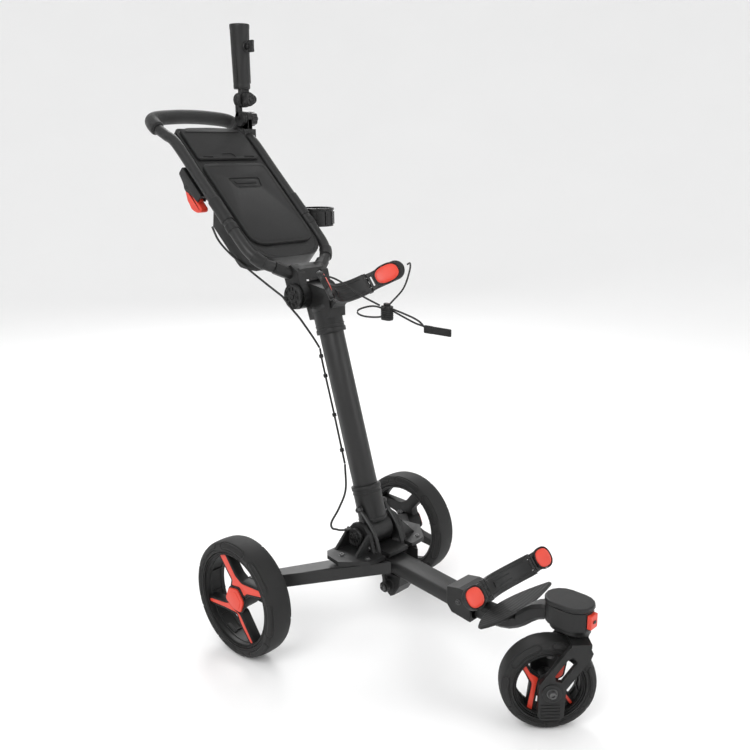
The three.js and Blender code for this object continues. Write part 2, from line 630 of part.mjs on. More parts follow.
// ---------- umbrella holder on the left rail ----------
const LOWER_JOINT = { z: 1049 };
const UPPER_JOINT = { z: 1090 };
add('umbrella_clamp', cut(
  join(
    block(33, 24, 34, UMBRELLA.x + 3, UMBRELLA.y - 8, 1008.5),
    bar('x', 16.2, 12, UMBRELLA.x + 7, UMBRELLA.y, LOWER_JOINT.z, 20),
    block(12, 22, 30, UMBRELLA.x + 7, UMBRELLA.y - 5, 1034),
  ),
  tube(railPoints(1), 11.5 + GAP, 10, 18),
  bar('x', 4 + GAP, 60, UMBRELLA.x, UMBRELLA.y, LOWER_JOINT.z, 12),
), PLASTIC());
add('umbrella_link', cut(
  join(
    bar('x', 16.5, 12, UMBRELLA.x - 6, UMBRELLA.y, LOWER_JOINT.z, 20),
    bar('y', 17, 12, UMBRELLA.x, UMBRELLA.y + 7, UPPER_JOINT.z, 20),
    block(12, 12, 30, UMBRELLA.x - 6, UMBRELLA.y + 7, 1068),
  ),
  bar('x', 4 + GAP, 60, UMBRELLA.x, UMBRELLA.y, LOWER_JOINT.z, 12),
  bar('y', 4 + GAP, 60, UMBRELLA.x, UMBRELLA.y, UPPER_JOINT.z, 12),
), PLASTIC());
const TUBE = { bottom: 1113, top: 1252, bore: 17.5 };
add('umbrella_tube', cut(
  join(
    bar('z', 18.5, TUBE.top - TUBE.bottom, UMBRELLA.x, UMBRELLA.y, (TUBE.top + TUBE.bottom) / 2, 28, 22),
    bar('y', 17, 12, UMBRELLA.x, UMBRELLA.y - 5.4, UPPER_JOINT.z, 20),
    block(24, 12, 24, UMBRELLA.x, UMBRELLA.y - 5.4, 1103),
  ),
  bar('z', TUBE.bore - 2, TUBE.top, UMBRELLA.x, UMBRELLA.y, TUBE.bottom + 12 + TUBE.top / 2, 28),
  bar('y', 4 + GAP, 40, UMBRELLA.x, UMBRELLA.y - 10, UPPER_JOINT.z, 12),
  bar('y', 4 + GAP, 40, UMBRELLA.x, UMBRELLA.y - 24, 1203, 12),
), PLASTIC());
function knobX(x, z) {
  return join(
    bar('x', 4, 40, x - 8, UMBRELLA.y, z, 12),
    bar('x', 17, 18, x + 10, UMBRELLA.y, z, 16, 15),
  );
}
add('lower_joint_knob', knobX(UMBRELLA.x + 13, LOWER_JOINT.z), PLASTIC());
add('upper_joint_knob', join(
  bar('y', 4, 40, UMBRELLA.x, UMBRELLA.y - 4, UPPER_JOINT.z, 12),
  bar('y', 15, 22, UMBRELLA.x, UMBRELLA.y - 22.8, UPPER_JOINT.z, 16, 17),
), PLASTIC());
add('tube_screw', join(
  bar('y', 4, 30, UMBRELLA.x, UMBRELLA.y - 28, 1203, 12),
  block(8, 16, 24, UMBRELLA.x, UMBRELLA.y - 38, 1203),
), PLASTIC());

// ---------- brake cable, held along its route ----------
const CABLE_RADIUS = 2.2;
const cables = {
  brake_cable_handle: [
    [-105, 232, 824], [-104, 215, 798], [-100, 187, 774], [-90, 150, 748], [-76, 105, 717], [-62, 66, 690],
  ],
  brake_cable_joint: [
    [-61.8, 65.4, 689.4], [-56, 48, 668], [-44, 38, 648], [-32, 32, 628], [-24, 17, 604], [-17.2, 7.8, 585],
  ],
  brake_cable_post: [
    [-17, 7, 584], [-15, 2, 553], [-14, -28, 450], [-15, -58, 350],
  ],
  brake_cable_foot: [
    [-15.2, -58.4, 349], [-24, -68, 298], [-42, -66, 262], [-60, -62, 236], [-66, -70, 227],
    [-66, -82, 228],
  ],
};
for (const [name, points] of Object.entries(cables)) {
  add(name, tube(points, CABLE_RADIUS, 8, points.length * 2), CORD());
}

// ---------- elastic cord, its cord lock and its pull tab ----------
const CORD_RADIUS = 1.8;
const LOCK = { x: 0, y: -165, z: 676 };
add('cord_lock', block(16, 24, 30, LOCK.x, LOCK.y, LOCK.z), PLASTIC());
add('pull_tab', block(3, 62, 14, 0, -291, 656), CORD());
const elastics = {
  elastic_near: [[-118, -112, 752], [-110, -118, 752], [-82, -120, 741], [-42, -140, 710], [-11, -156, 690]],
  elastic_far: [[118, -112, 752], [110, -126, 756], [86, -146, 745], [50, -162, 716], [11, -164, 692]],
  elastic_pull: [[0, -178, 684], [0, -205, 679], [0, -232, 673], [0, -248, 667], [0, -257, 660]],
};
for (const [name, points] of Object.entries(elastics)) {
  add(name, tube(points, CORD_RADIUS, 8, points.length * 2), CORD());
}

cart.position.y = ORIGIN_SHIFT_Y;
export default cart;
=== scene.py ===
# %% [markdown]
# # A three-wheeled push cart for a golf bag
# The moving frame comes packed: wheels, beam, post, handle and every joint already stand where they
# belong. This lesson gives each of those plain solids the surface of the real piece. Lengths are
# worked out in millimetres, in a workshop frame whose zero lies on the floor under the rear axle,
# because that is how such a cart is drawn, and they are turned into metres at the very end.

import json
import math

import bmesh
import bpy
import numpy as np
from mathutils import Matrix

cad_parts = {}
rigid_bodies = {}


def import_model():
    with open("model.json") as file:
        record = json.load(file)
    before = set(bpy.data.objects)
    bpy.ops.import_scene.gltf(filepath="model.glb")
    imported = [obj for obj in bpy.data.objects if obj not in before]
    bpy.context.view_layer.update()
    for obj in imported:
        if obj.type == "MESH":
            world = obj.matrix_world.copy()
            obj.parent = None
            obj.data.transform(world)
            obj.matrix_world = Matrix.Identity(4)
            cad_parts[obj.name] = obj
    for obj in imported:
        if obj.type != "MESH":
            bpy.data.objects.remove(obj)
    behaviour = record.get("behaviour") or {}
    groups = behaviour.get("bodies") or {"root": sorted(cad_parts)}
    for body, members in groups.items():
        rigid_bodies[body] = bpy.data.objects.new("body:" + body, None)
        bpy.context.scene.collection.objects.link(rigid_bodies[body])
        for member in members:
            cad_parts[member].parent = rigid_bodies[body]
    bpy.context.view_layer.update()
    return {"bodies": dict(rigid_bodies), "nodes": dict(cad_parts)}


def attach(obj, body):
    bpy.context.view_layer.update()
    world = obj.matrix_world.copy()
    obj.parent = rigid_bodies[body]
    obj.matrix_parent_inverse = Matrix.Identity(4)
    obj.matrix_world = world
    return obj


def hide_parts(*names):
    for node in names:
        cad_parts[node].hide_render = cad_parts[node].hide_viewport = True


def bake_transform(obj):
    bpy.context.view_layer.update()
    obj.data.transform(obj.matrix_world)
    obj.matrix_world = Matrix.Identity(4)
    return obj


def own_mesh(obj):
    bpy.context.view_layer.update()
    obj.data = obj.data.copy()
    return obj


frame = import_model()

# %% [markdown]
# ## The camera
# The cart is seen from the front right, a little above the console, through a moderate lens. The
# camera is turned from three vectors: where it looks back to, its right and its up.

# %% Camera
AXLE_Y = 98.45


def metres(points):
    """Workshop millimetres to metres in the part's own frame: add the axle's y, divide by 1000."""
    return (np.asarray(points, float) + [0.0, AXLE_Y, 0.0]) / 1000.0


def set_camera(place, azimuth, pitch, roll, lens):
    """Back = (sin a cos p, -cos a cos p, sin p), right is level, up = back x right, then both roll."""
    a, p, r = (math.radians(v) for v in (azimuth, pitch, roll))
    back = np.array([math.sin(a) * math.cos(p), -math.cos(a) * math.cos(p), math.sin(p)])
    level = np.array([math.cos(a), math.sin(a), 0.0])
    up = np.cross(back, level)
    right = math.cos(r) * level + math.sin(r) * up
    up = -math.sin(r) * level + math.cos(r) * up
    data = bpy.data.cameras.new("camera")
    data.lens = lens
    data.sensor_width = 36.0
    data.clip_end = 60.0
    camera = bpy.data.objects.new("camera", data)
    bpy.context.scene.collection.objects.link(camera)
    matrix = np.eye(4)
    matrix[:3, 0], matrix[:3, 1], matrix[:3, 2] = right, up, back
    matrix[:3, 3] = metres(place)
    camera.matrix_world = Matrix(matrix.tolist())
    bpy.context.scene.camera = camera
    return camera


set_camera((-1221.0, -1298.5, 971.8), -46.3, 14.1, -0.5, 42.60)

# %% [markdown]
# ## Shader maths as plain expressions
# Every finish here is made of noise, cells and masks. A small class wraps a node's output, so that
# sums and products of values are written as Python expressions and each adds its Math node.

# %% Graph helper


class Value:
    """A socket that can be used in arithmetic; each operation adds one Math node."""

    def __init__(self, graph, socket):
        self.graph, self.socket = graph, socket

    def _math(self, operation, a, b):
        return self.graph.node("ShaderNodeMath", {"operation": operation}, {0: a, 1: b})

    def __add__(self, other):
        return self._math("ADD", self, other)

    def __radd__(self, other):
        return self._math("ADD", other, self)

    def __sub__(self, other):
        return self._math("SUBTRACT", self, other)

    def __rsub__(self, other):
        return self._math("SUBTRACT", other, self)

    def __mul__(self, other):
        return self._math("MULTIPLY", self, other)

    def __rmul__(self, other):
        return self._math("MULTIPLY", other, self)

    def above(self, low, high):
        """0 below low, 1 above high, smooth between."""
        settings = {"interpolation_type": "SMOOTHSTEP"}
        return self.graph.node("ShaderNodeMapRange", settings, {0: self, 1: low, 2: high, 3: 0.0, 4: 1.0})


class Graph:
    """The node tree of one material, with one method that adds any node."""

    def __init__(self, name):
        self.material = bpy.data.materials.new(name)
        self.material.use_nodes = True
        self.tree = self.material.node_tree
        self.shader = self.tree.nodes["Principled BSDF"]
        self.where = self.node("ShaderNodeTexCoord", {}, {}, "Object")

    def put(self, socket, value):
        if isinstance(value, Value):
            self.tree.links.new(value.socket, socket)
        else:
            socket.default_value = value

    def node(self, kind, settings, sockets, output=0):
        """Add a node of that kind: its settings first, then the values or links of its sockets."""
        made = self.tree.nodes.new(kind)
        for name, value in settings.items():
            setattr(made, name, value)
        for key, value in sockets.items():
            self.put(made.inputs[key], value)
        return Value(self, made.outputs[output])

    def noise(self, scale, detail=3.0, rough=0.55):
        sockets = {"Vector": self.where, "Scale": scale, "Detail": detail, "Roughness": rough}
        return self.node("ShaderNodeTexNoise", {}, sockets, "Fac")

    def cells(self, scale, feature="F1"):
        sockets = {"Vector": self.where, "Scale": scale}
        return self.node("ShaderNodeTexVoronoi", {"feature": feature}, sockets, "Distance")

    def mix(self, factor, a, b):
        """Blend two colours by a value from 0 to 1."""
        made = self.tree.nodes.new("ShaderNodeMix")
        made.data_type = "RGBA"
        self.put(made.inputs["Factor"], factor)
        self.put(made.inputs[6], a)
        self.put(made.inputs[7], b)
        return Value(self, made.outputs[2])

    def bump(self, height, distance, strength=1.0):
        sockets = {"Height": height, "Distance": distance, "Strength": strength}
        normal = self.node("ShaderNodeBump", {}, sockets)
        self.put(self.shader.inputs["Normal"], normal)
        return normal

    def set(self, **values):
        for name, value in values.items():
            self.put(self.shader.inputs[name.replace("_", " ")], value)
        return self


def grey(level, warm=0.0):
    return (level * (1 + warm), level, level * (1 - warm * 0.6), 1.0)


# %% [markdown]
# ## The finishes
# Nearly everything on the cart is black, and what tells the pieces apart is how they shine: moulded
# nylon has a fine spark-eroded grain, powder coat has a soft orange peel, foam tyres are dull and
# slightly chalky, and the hand grip is covered in tiny open cells.

# %% Finishes


def moulded(name, level, rough, grain=0.00006, tint=0.0):
    """Grained plastic: two noises for the skin, a slow one for handling marks and colour."""
    g = Graph(name)
    skin = g.noise(2600.0, 2.0)
    slow = g.noise(16.0, 3.0)
    marks = g.noise(140.0, 4.0)
    tone = slow * 0.6 + marks * 0.4
    g.set(Base_Color=g.mix(tone, grey(level * 0.82, tint), grey(level * 1.2, tint)))
    g.set(Roughness=rough + (slow - 0.5) * 0.16 + (marks - 0.5) * 0.10, Specular_IOR_Level=0.36)
    g.bump(skin + marks * 0.25, grain)
    return g.material


def powder(name, level, rough):
    """Powder coat: a rounded orange peel under fine glints in the roughness."""
    g = Graph(name)
    peel = g.noise(620.0, 1.0)
    dust = g.cells(2400.0)
    slow = g.noise(11.0, 2.0)
    g.set(Base_Color=g.mix(slow * 0.7 + dust * 0.3, grey(level * 0.85), grey(level * 1.18)))
    g.set(Roughness=rough + (slow - 0.5) * 0.12 + (dust - 0.4) * 0.10, Specular_IOR_Level=0.42)
    g.bump(peel + dust * 0.2, 0.00009)
    return g.material


def tyre_foam(name, level):
    """Foam tyre: dull, with flecks and a faint dusty tone that varies slowly over the band."""
    g = Graph(name)
    skin = g.noise(900.0, 4.0, 0.7)
    slow = g.noise(22.0, 4.0)
    fleck = g.cells(420.0).above(0.10, 0.32)
    g.set(Base_Color=g.mix(slow * 0.7 + (1 - fleck) * 0.3, grey(level * 0.8), grey(level * 1.35, 0.03)))
    g.set(Roughness=0.62 + (slow - 0.5) * 0.22 + (skin - 0.5) * 0.12, Specular_IOR_Level=0.34)
    g.bump(skin + slow * 0.3, 0.00016)
    return g.material


def grip_foam(name, level):
    """Closed-cell foam: small pits with painted shade inside them, and a soft sheen along the whole grip."""
    g = Graph(name)
    pits = g.cells(1150.0).above(0.16, 0.46)
    slow = g.noise(30.0, 3.0)
    # The colour darkens inside each pit: painted shade in the foam's cells.
    g.set(Base_Color=g.mix(pits * 0.65 + slow * 0.35, grey(level * 0.6), grey(level * 1.25)))
    g.set(Roughness=0.74 + (slow - 0.5) * 0.18, Specular_IOR_Level=0.34)
    g.set(Sheen_Weight=0.25, Sheen_Roughness=0.5)
    g.bump(pits + slow * 0.2, 0.00022)
    return g.material


def red_plastic(name):
    """Red mouldings: satin, with a slightly deeper red in slow random patches."""
    g = Graph(name)
    slow = g.noise(38.0, 3.0)
    skin = g.noise(1900.0, 2.0)
    deep, bright = (0.60, 0.036, 0.018, 1.0), (0.74, 0.060, 0.030, 1.0)
    g.set(Base_Color=g.mix(slow, deep, bright))
    g.set(Roughness=0.40 + (slow - 0.5) * 0.18)
    g.bump(skin, 0.00005)
    return g.material


def plated(name, level, rough):
    """Dark plated steel: brushed rings from stretched noise and small bright scuffs."""
    g = Graph(name)
    turned = g.node("ShaderNodeMapping", {}, {"Vector": g.where, "Scale": (2400.0, 160.0, 160.0)})
    sockets = {"Vector": turned, "Scale": 1.0, "Detail": 3.0}
    brush = g.node("ShaderNodeTexNoise", {}, sockets, "Fac")
    scuff = g.noise(260.0, 4.0).above(0.58, 0.72)
    g.set(Base_Color=g.mix(scuff * 0.5 + brush * 0.3, grey(level * 0.8), grey(level * 1.5)))
    g.set(Metallic=0.9 - scuff * 0.1, Roughness=rough + (brush - 0.5) * 0.22)
    g.bump(brush, 0.00003)
    return g.material


def ribbed_rubber(name, level):
    """Rubber strip: moulded ribs along its length, read from the height along the cart."""
    g = Graph(name)
    place = g.node("ShaderNodeSeparateXYZ", {}, {"Vector": g.where}, "Y")
    ribs = g.node("ShaderNodeMath", {"operation": "SINE"}, {0: place * 1150.0})
    slow = g.noise(26.0, 3.0)
    skin = g.noise(1500.0, 3.0)
    g.set(Base_Color=g.mix(slow * 0.7 + (ribs * 0.15 + 0.15), grey(level * 0.8), grey(level * 1.3)))
    g.set(Roughness=0.56 + (slow - 0.5) * 0.2)
    g.bump(ribs * 0.5 + skin * 0.25, 0.00028)
    return g.material


def braid(name, level):
    """Woven cord: crossing diagonals from the cord's own UV map, u around and v along it."""
    g = Graph(name)
    split = g.tree.nodes.new("ShaderNodeSeparateXYZ")
    uv = g.node("ShaderNodeUVMap", {"uv_map": "UVMap"}, {})
    g.put(split.inputs[0], uv)
    around, along = Value(g, split.outputs[0]), Value(g, split.outputs[1])
    one = g.node("ShaderNodeMath", {"operation": "SINE"}, {0: (around * 8 + along) * 6.2832})
    two = g.node("ShaderNodeMath", {"operation": "SINE"}, {0: (around * 8 - along) * 6.2832})
    weave = one * two * 0.5 + 0.5
    slow = g.noise(60.0, 2.0)
    g.set(Base_Color=g.mix(weave * 0.7 + slow * 0.3, grey(level * 0.5), grey(level * 1.6)))
    g.set(Roughness=0.72 + (slow - 0.5) * 0.15)
    g.bump(weave, 0.00025)
    return g.material


def webbing(name, level):
    """Flat strap: a fine twill from two crossing waves."""
    g = Graph(name)
    split = g.tree.nodes.new("ShaderNodeSeparateXYZ")
    g.put(split.inputs[0], g.where)
    y, z = Value(g, split.outputs[1]), Value(g, split.outputs[2])
    twill = g.node("ShaderNodeMath", {"operation": "SINE"}, {0: (y + z) * 5200.0})
    cross = g.node("ShaderNodeMath", {"operation": "SINE"}, {0: (y - z) * 3100.0})
    slow = g.noise(45.0, 3.0)
    g.set(Base_Color=g.mix(twill * 0.2 + cross * 0.1 + slow * 0.5, grey(level * 0.6), grey(level * 1.4)))
    g.set(Roughness=0.8 + (slow - 0.5) * 0.1)
    g.bump(twill + cross * 0.5, 0.00012)
    return g.material


NYLON = moulded("black nylon", 0.0090, 0.44)
NYLON_DARK = moulded("black nylon in the wheels", 0.0065, 0.50)
LID_SKIN = moulded("fine-grained lid plastic", 0.0100, 0.52, 0.00008)
GLOSS = moulded("smooth black plastic", 0.0080, 0.28, 0.00003)
COAT = powder("satin black powder coat", 0.0105, 0.40)
TYRE = tyre_foam("foam tyre", 0.0105)
FOAM = grip_foam("foam grip", 0.0100)
RED = red_plastic("red plastic")
STEEL = plated("dark plated steel", 0.12, 0.38)
RUBBER = ribbed_rubber("ribbed rubber", 0.0100)
CORD = braid("woven elastic cord", 0.012)
STRAP = webbing("woven strap", 0.013)
SHEATH = moulded("cable sheath", 0.010, 0.34, 0.00003)
print("finishes", len(bpy.data.materials))

# %% [markdown]
# ## Shapes as arrays
# A shape here is a pair: an array of points and a list of faces. Small functions make them from
# outlines and paths, others place them in a frame of their own, and only the last step turns them
# into a Blender mesh. That keeps every piece a few readable lines.

# %% Outlines and paths


def unit(v):
    v = np.asarray(v, float)
    return v / np.linalg.norm(v, axis=-1, keepdims=True)


def rounded(points, radius, steps=5):
    """Round each corner p between edge points a and b by (1-t)^2 a + 2t(1-t) p + t^2 b."""
    p = np.asarray(points, float)
    back, ahead = np.roll(p, 1, 0) - p, np.roll(p, -1, 0) - p
    reach_back, reach_ahead = np.linalg.norm(back, axis=1), np.linalg.norm(ahead, axis=1)
    reach = np.minimum(radius, 0.42 * np.minimum(reach_back, reach_ahead))
    a = p + back * (reach / reach_back)[:, None]
    b = p + ahead * (reach / reach_ahead)[:, None]
    t = np.linspace(0, 1, steps)[None, :, None]
    corner = (1 - t) ** 2 * a[:, None] + 2 * t * (1 - t) * p[:, None] + t * t * b[:, None]
    return corner.reshape(-1, p.shape[1])


def box_outline(width, height, radius, steps=6):
    """A rounded rectangle about the origin."""
    x, y = width / 2, height / 2
    return rounded([(-x, -y), (x, -y), (x, y), (-x, y)], radius, steps)


def circle(radius, steps=32, squash=1.0):
    """(r cos t, q r sin t)."""
    t = np.arange(steps) * 2 * np.pi / steps
    return np.column_stack([radius * np.cos(t), squash * radius * np.sin(t)])


def inset(outline, depth):
    """Move every side of a closed outline inwards by depth; corners slide along their mitre."""
    p = np.asarray(outline, float)
    before, after = unit(p - np.roll(p, 1, 0)), unit(np.roll(p, -1, 0) - p)
    mitre = unit(before + after)
    turn = np.clip(np.sum(mitre * after, axis=1), 0.5, 1.0)
    area = np.sum(p[:, 0] * np.roll(p[:, 1], -1) - np.roll(p[:, 0], -1) * p[:, 1])
    inward = np.column_stack([-mitre[:, 1], mitre[:, 0]]) * np.sign(area)
    return p + inward * (depth / turn)[:, None]


def curve_through(points, count=48):
    """A smooth line through the points (Catmull-Rom), walked again in even steps."""
    p = np.asarray(points, float)
    p = np.vstack([2 * p[0] - p[1], p, 2 * p[-1] - p[-2]])
    spans = len(p) - 3
    t = np.linspace(0, spans, spans * 24 + 1)
    i = np.minimum(t.astype(int), spans - 1)
    f = (t - i)[:, None]
    a, b, c, d = p[i], p[i + 1], p[i + 2], p[i + 3]
    q = 0.5 * (2 * b + (c - a) * f + (2 * a - 5 * b + 4 * c - d) * f**2 + (3 * b - a - 3 * c + d) * f**3)
    along = np.r_[0, np.cumsum(np.linalg.norm(np.diff(q, axis=0), axis=1))]
    wanted = np.linspace(0, along[-1], count)
    return np.column_stack([np.interp(wanted, along, q[:, k]) for k in range(p.shape[1])])


# %% [markdown]
# Four ways of making a closed surface cover the whole cart. A plate is an outline with a thickness,
# a sweep is an outline carried along a path, a turned shape is a profile spun about an axis, and
# each of them is a grid of points with quads between its rows.

# %% Grids, plates, sweeps and turned shapes


def grid(points, around=True, caps=True, along=False):
    """Faces over rows of points: quads between rows, closed across, with a flat face at each end."""
    rows, columns = points.shape[:2]
    i = np.arange(rows if along else rows - 1)[:, None]
    j = np.arange(columns if around else columns - 1)[None, :]
    k, m = (i + 1) % rows, (j + 1) % columns
    quads = np.stack([i * columns + j, i * columns + m, k * columns + m, k * columns + j], axis=-1)
    faces = quads.reshape(-1, 4).tolist()
    if caps and not along:
        last = (rows - 1) * columns
        faces += [list(range(columns))[::-1], list(range(last, last + columns))]
    return points.reshape(-1, 3), faces


def rim_steps(edge, steps=4):
    """(inset, height) along a rounded edge: a quarter circle e(1 - cos), e(1 - sin)."""
    t = np.linspace(0, np.pi / 2, steps)
    return np.column_stack([edge * (1 - np.sin(t)), edge * (1 - np.cos(t))])


def plate(outline, low, high, edge=1.0, steps=4):
    """An outline carried from low to high along w, with both rims rounded by edge."""
    ring = rim_steps(edge, steps)
    levels = [(i, low + h) for i, h in ring] + [(i, high - h) for i, h in ring[::-1]]
    rows = [np.column_stack([inset(outline, i), np.full(len(outline), level)]) for i, level in levels]
    return grid(np.array(rows))


def turned(profile, steps=64, closed=False, start=0.0):
    """Spin (radius, height) about w: (r cos t, r sin t, h). A closed profile makes a ring."""
    profile = np.asarray(profile, float)
    t = start + np.arange(steps) * 2 * np.pi / steps
    r, h = profile[:, :1], profile[:, 1:]
    points = np.stack([r * np.cos(t), r * np.sin(t), h + 0 * t], axis=-1)
    return grid(points, caps=not closed, along=closed)


def carried(path, section, up=(0, 0, 1), size=None, caps=True):
    """Carry a section along a path: path + u side + v lift, with side = direction x up."""
    path, section = np.asarray(path, float), np.asarray(section, float)
    direction = unit(np.gradient(path, axis=0))
    side = unit(np.cross(direction, up))
    lift = np.cross(side, direction)
    if section.ndim == 2:
        section = np.repeat(section[None], len(path), axis=0)
    if size is not None:
        section = section * np.asarray(size, float)[:, None, None]
    points = path[:, None] + section[..., :1] * side[:, None] + section[..., 1:] * lift[:, None]
    return grid(points, caps=caps)


def soft_ends(count, reach, length):
    """Sizes and places along a path of that length whose two ends close in a round of that reach."""
    t = np.linspace(0, np.pi / 2, 6)
    head = reach / length * (1 - np.cos(t))
    places = np.r_[head, np.linspace(reach / length, 1 - reach / length, count)[1:-1], (1 - head)[::-1]]
    sizes = np.r_[np.sin(t) * 0.999 + 0.001, np.ones(count - 2), (np.sin(t) * 0.999 + 0.001)[::-1]]
    return places, sizes


def walk(path, places):
    """Points at these fractions of a path's length."""
    path = np.asarray(path, float)
    along = np.r_[0, np.cumsum(np.linalg.norm(np.diff(path, axis=0), axis=1))]
    return np.column_stack([np.interp(places * along[-1], along, path[:, k]) for k in range(3)])


def at(shape, origin, u=(1, 0, 0), v=(0, 1, 0)):
    """Place a shape: origin + a u + b v + c (u x v)."""
    points, faces = shape
    u, v = unit(u), unit(v)
    return np.asarray(origin, float) + points @ np.array([u, v, np.cross(u, v)]), faces


def joined(*shapes):
    """Several shapes as one."""
    offsets = np.cumsum([0] + [len(points) for points, _ in shapes])
    faces = [[i + o for i in face] for (_, fs), o in zip(shapes, offsets) for face in fs]
    return np.vstack([points for points, _ in shapes]), faces


# %% [markdown]
# A shape becomes a piece when it is given a mesh, a finish and the body that it moves with. A solid
# that already has its final form is copied instead, its triangles are merged, and its edges rounded.

# %% Turning shapes into pieces
CREASE = math.radians(34)


def body_of_node(node):
    """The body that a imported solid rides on."""
    parent = frame["nodes"][node].parent
    return next(name for name, empty in frame["bodies"].items() if empty is parent)


def finish_mesh(name, mesh, body, finish, nodes):
    """Give a mesh its material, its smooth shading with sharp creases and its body."""
    mesh.materials.clear()
    mesh.materials.append(finish)
    mesh.shade_smooth()
    mesh.set_sharp_from_angle(angle=CREASE)
    piece = bpy.data.objects.new(name, mesh)
    bpy.context.scene.collection.objects.link(piece)
    if body:
        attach(piece, body)
    if nodes:
        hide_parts(*nodes)
    return piece


def make(name, shape, body, finish, nodes=(), merge=1e-6):
    """Turn a shape into a piece: doubles merged, faces turned outwards, everything in metres."""
    points, faces = shape
    mesh = bpy.data.meshes.new(name)
    mesh.from_pydata(metres(points).tolist(), [], faces)
    work = bmesh.new()
    work.from_mesh(mesh)
    bmesh.ops.remove_doubles(work, verts=work.verts, dist=merge)
    bmesh.ops.recalc_face_normals(work, faces=work.faces)
    work.to_mesh(mesh)
    work.free()
    return finish_mesh(name, mesh, body, finish, nodes)


def refined(node, finish, edge=1.2, name=None):
    """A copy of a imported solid: triangles merged, flat faces joined, then every crease rounded."""
    mesh = frame["nodes"][node].data.copy()
    work = bmesh.new()
    work.from_mesh(mesh)
    bmesh.ops.remove_doubles(work, verts=work.verts, dist=1e-6)
    bmesh.ops.dissolve_limit(work, angle_limit=math.radians(0.5), verts=work.verts, edges=work.edges)
    work.to_mesh(mesh)
    work.free()
    piece = finish_mesh(name or f"{node}_moulding", mesh, body_of_node(node), finish, [node])
    bevel = piece.modifiers.new("rounded edges", "BEVEL")
    bevel.width = edge / 1000
    bevel.segments = 2
    bevel.limit_method = "ANGLE"
    bevel.angle_limit = math.radians(32)
    bevel.harden_normals = True
    return piece


# %% [markdown]
# ## The cord that ties the upper band
# A thin elastic runs from the tip of each wing to a ribbed cord lock and on to a pull tab. It is a
# round braided cord, so its UV map is wrapped once around and counted along, for the weave.

# %% Elastic cords


def cord_tube(name, points, radius, body, finish, nodes, count=40):
    """A mesh tube along a smooth line, u around, v along in steps of one radius."""
    path = curve_through(points, count)
    shape = carried(path, circle(radius, 12), up=(0.31, 0.2, 0.93))
    piece = make(name, shape, body, finish, nodes, merge=1e-7)
    mesh = piece.data
    uv = mesh.uv_layers.new(name="UVMap")
    corner = np.empty(len(mesh.loops), int)
    mesh.loops.foreach_get("vertex_index", corner)
    ring, place = corner % 12, corner // 12
    step = np.linalg.norm(np.diff(path, axis=0), axis=1).mean() / radius / 6
    starts = np.empty(len(mesh.polygons), int)
    totals = np.empty(len(mesh.polygons), int)
    mesh.polygons.foreach_get("loop_start", starts)
    mesh.polygons.foreach_get("loop_total", totals)
    face = np.repeat(np.arange(len(starts)), totals)
    most = np.zeros(len(starts), int)
    np.maximum.at(most, face, ring)
    around = np.where((most[face] == 11) & (ring == 0) & (totals[face] == 4), 12, ring) / 12
    uv.data.foreach_set("uv", np.column_stack([around, place * step]).ravel())
    length = np.linalg.norm(np.diff(path, axis=0), axis=1).sum() / 1000
    return piece, metres(path), float(length)


ELASTIC = {
    "elastic_near": [
        [-118, -112, 752], [-110, -118, 752], [-82, -120, 741], [-42, -140, 710], [-11, -156, 690],
    ],
    "elastic_far": [
        [118, -112, 752], [110, -126, 756], [86, -146, 745], [50, -162, 716], [11, -164, 692],
    ],
    "elastic_pull": [[0, -178, 684], [0, -205, 679], [0, -232, 673], [0, -248, 667], [0, -257, 660]],
}
WING_OF = {"elastic_near": "upper_wing_right", "elastic_far": "upper_wing_left"}
cords = {}
for node, points in ELASTIC.items():
    wing = WING_OF.get(node)
    body = None if wing else "upright"
    piece, path, length = cord_tube(f"{node}_cord", points, 1.8, body, CORD, [node], 24)
    if wing:
        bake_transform(piece)
    cords[node] = piece, path, length
    print(node, "length", round(length, 4))

# %% [markdown]
# ## Foam tyres
# Each tyre is one band of moulded foam: a broad tread with a slight crown, round shoulders and a
# sidewall that ends in a small lip on the rim. Its only pattern is a row of long oval grooves on
# each shoulder. The band is a grid of angle by place along the section, and the grooves are pushed
# into it: the depth falls off as a bell curve of the distance to an oval's outline.

# %% Tyres


def tyre_section(radius, width, bead, rows=92):
    """(radius, width) points round the band, denser on tread and shoulders than inside."""
    half = width / 2
    corners = [
        (bead, -half + 6), (bead + 1.2, -half + 2.0), (bead + 4.5, -half + 2.4), (bead + 6, -half + 0.9),
        (bead + 12, -half + 0.4), (radius - 9, -half + 0.8), (radius - 3.2, -half + 4.5),
        (radius - 0.9, -half + 12), (radius, 0),
    ]
    corners = np.array(corners)
    mirrored = corners[:-1][::-1] * [1, -1]
    outer = curve_through(np.vstack([corners, mirrored]), rows)
    inner = np.column_stack([np.full(4, bead), np.linspace(half - 7, -half + 7, 4)])
    return np.vstack([outer, inner])


def grooves(angle, across, radius, count, long, wide, centres, phases):
    """Depth 0 to 1: exp(-(d/w)^2), d from the outline of ovals long by wide, count to a turn."""
    depth = np.zeros_like(angle)
    for centre, phase in zip(centres, phases):
        turn = 2 * np.pi / count
        local = ((angle - phase + turn / 2) % turn - turn / 2) * radius
        straight = np.clip(local, -(long - wide) / 2, (long - wide) / 2)
        away = np.abs(np.hypot(local - straight, across - centre) - wide / 2)
        depth = np.maximum(depth, np.exp(-((away / 1.15) ** 2)))
    return depth


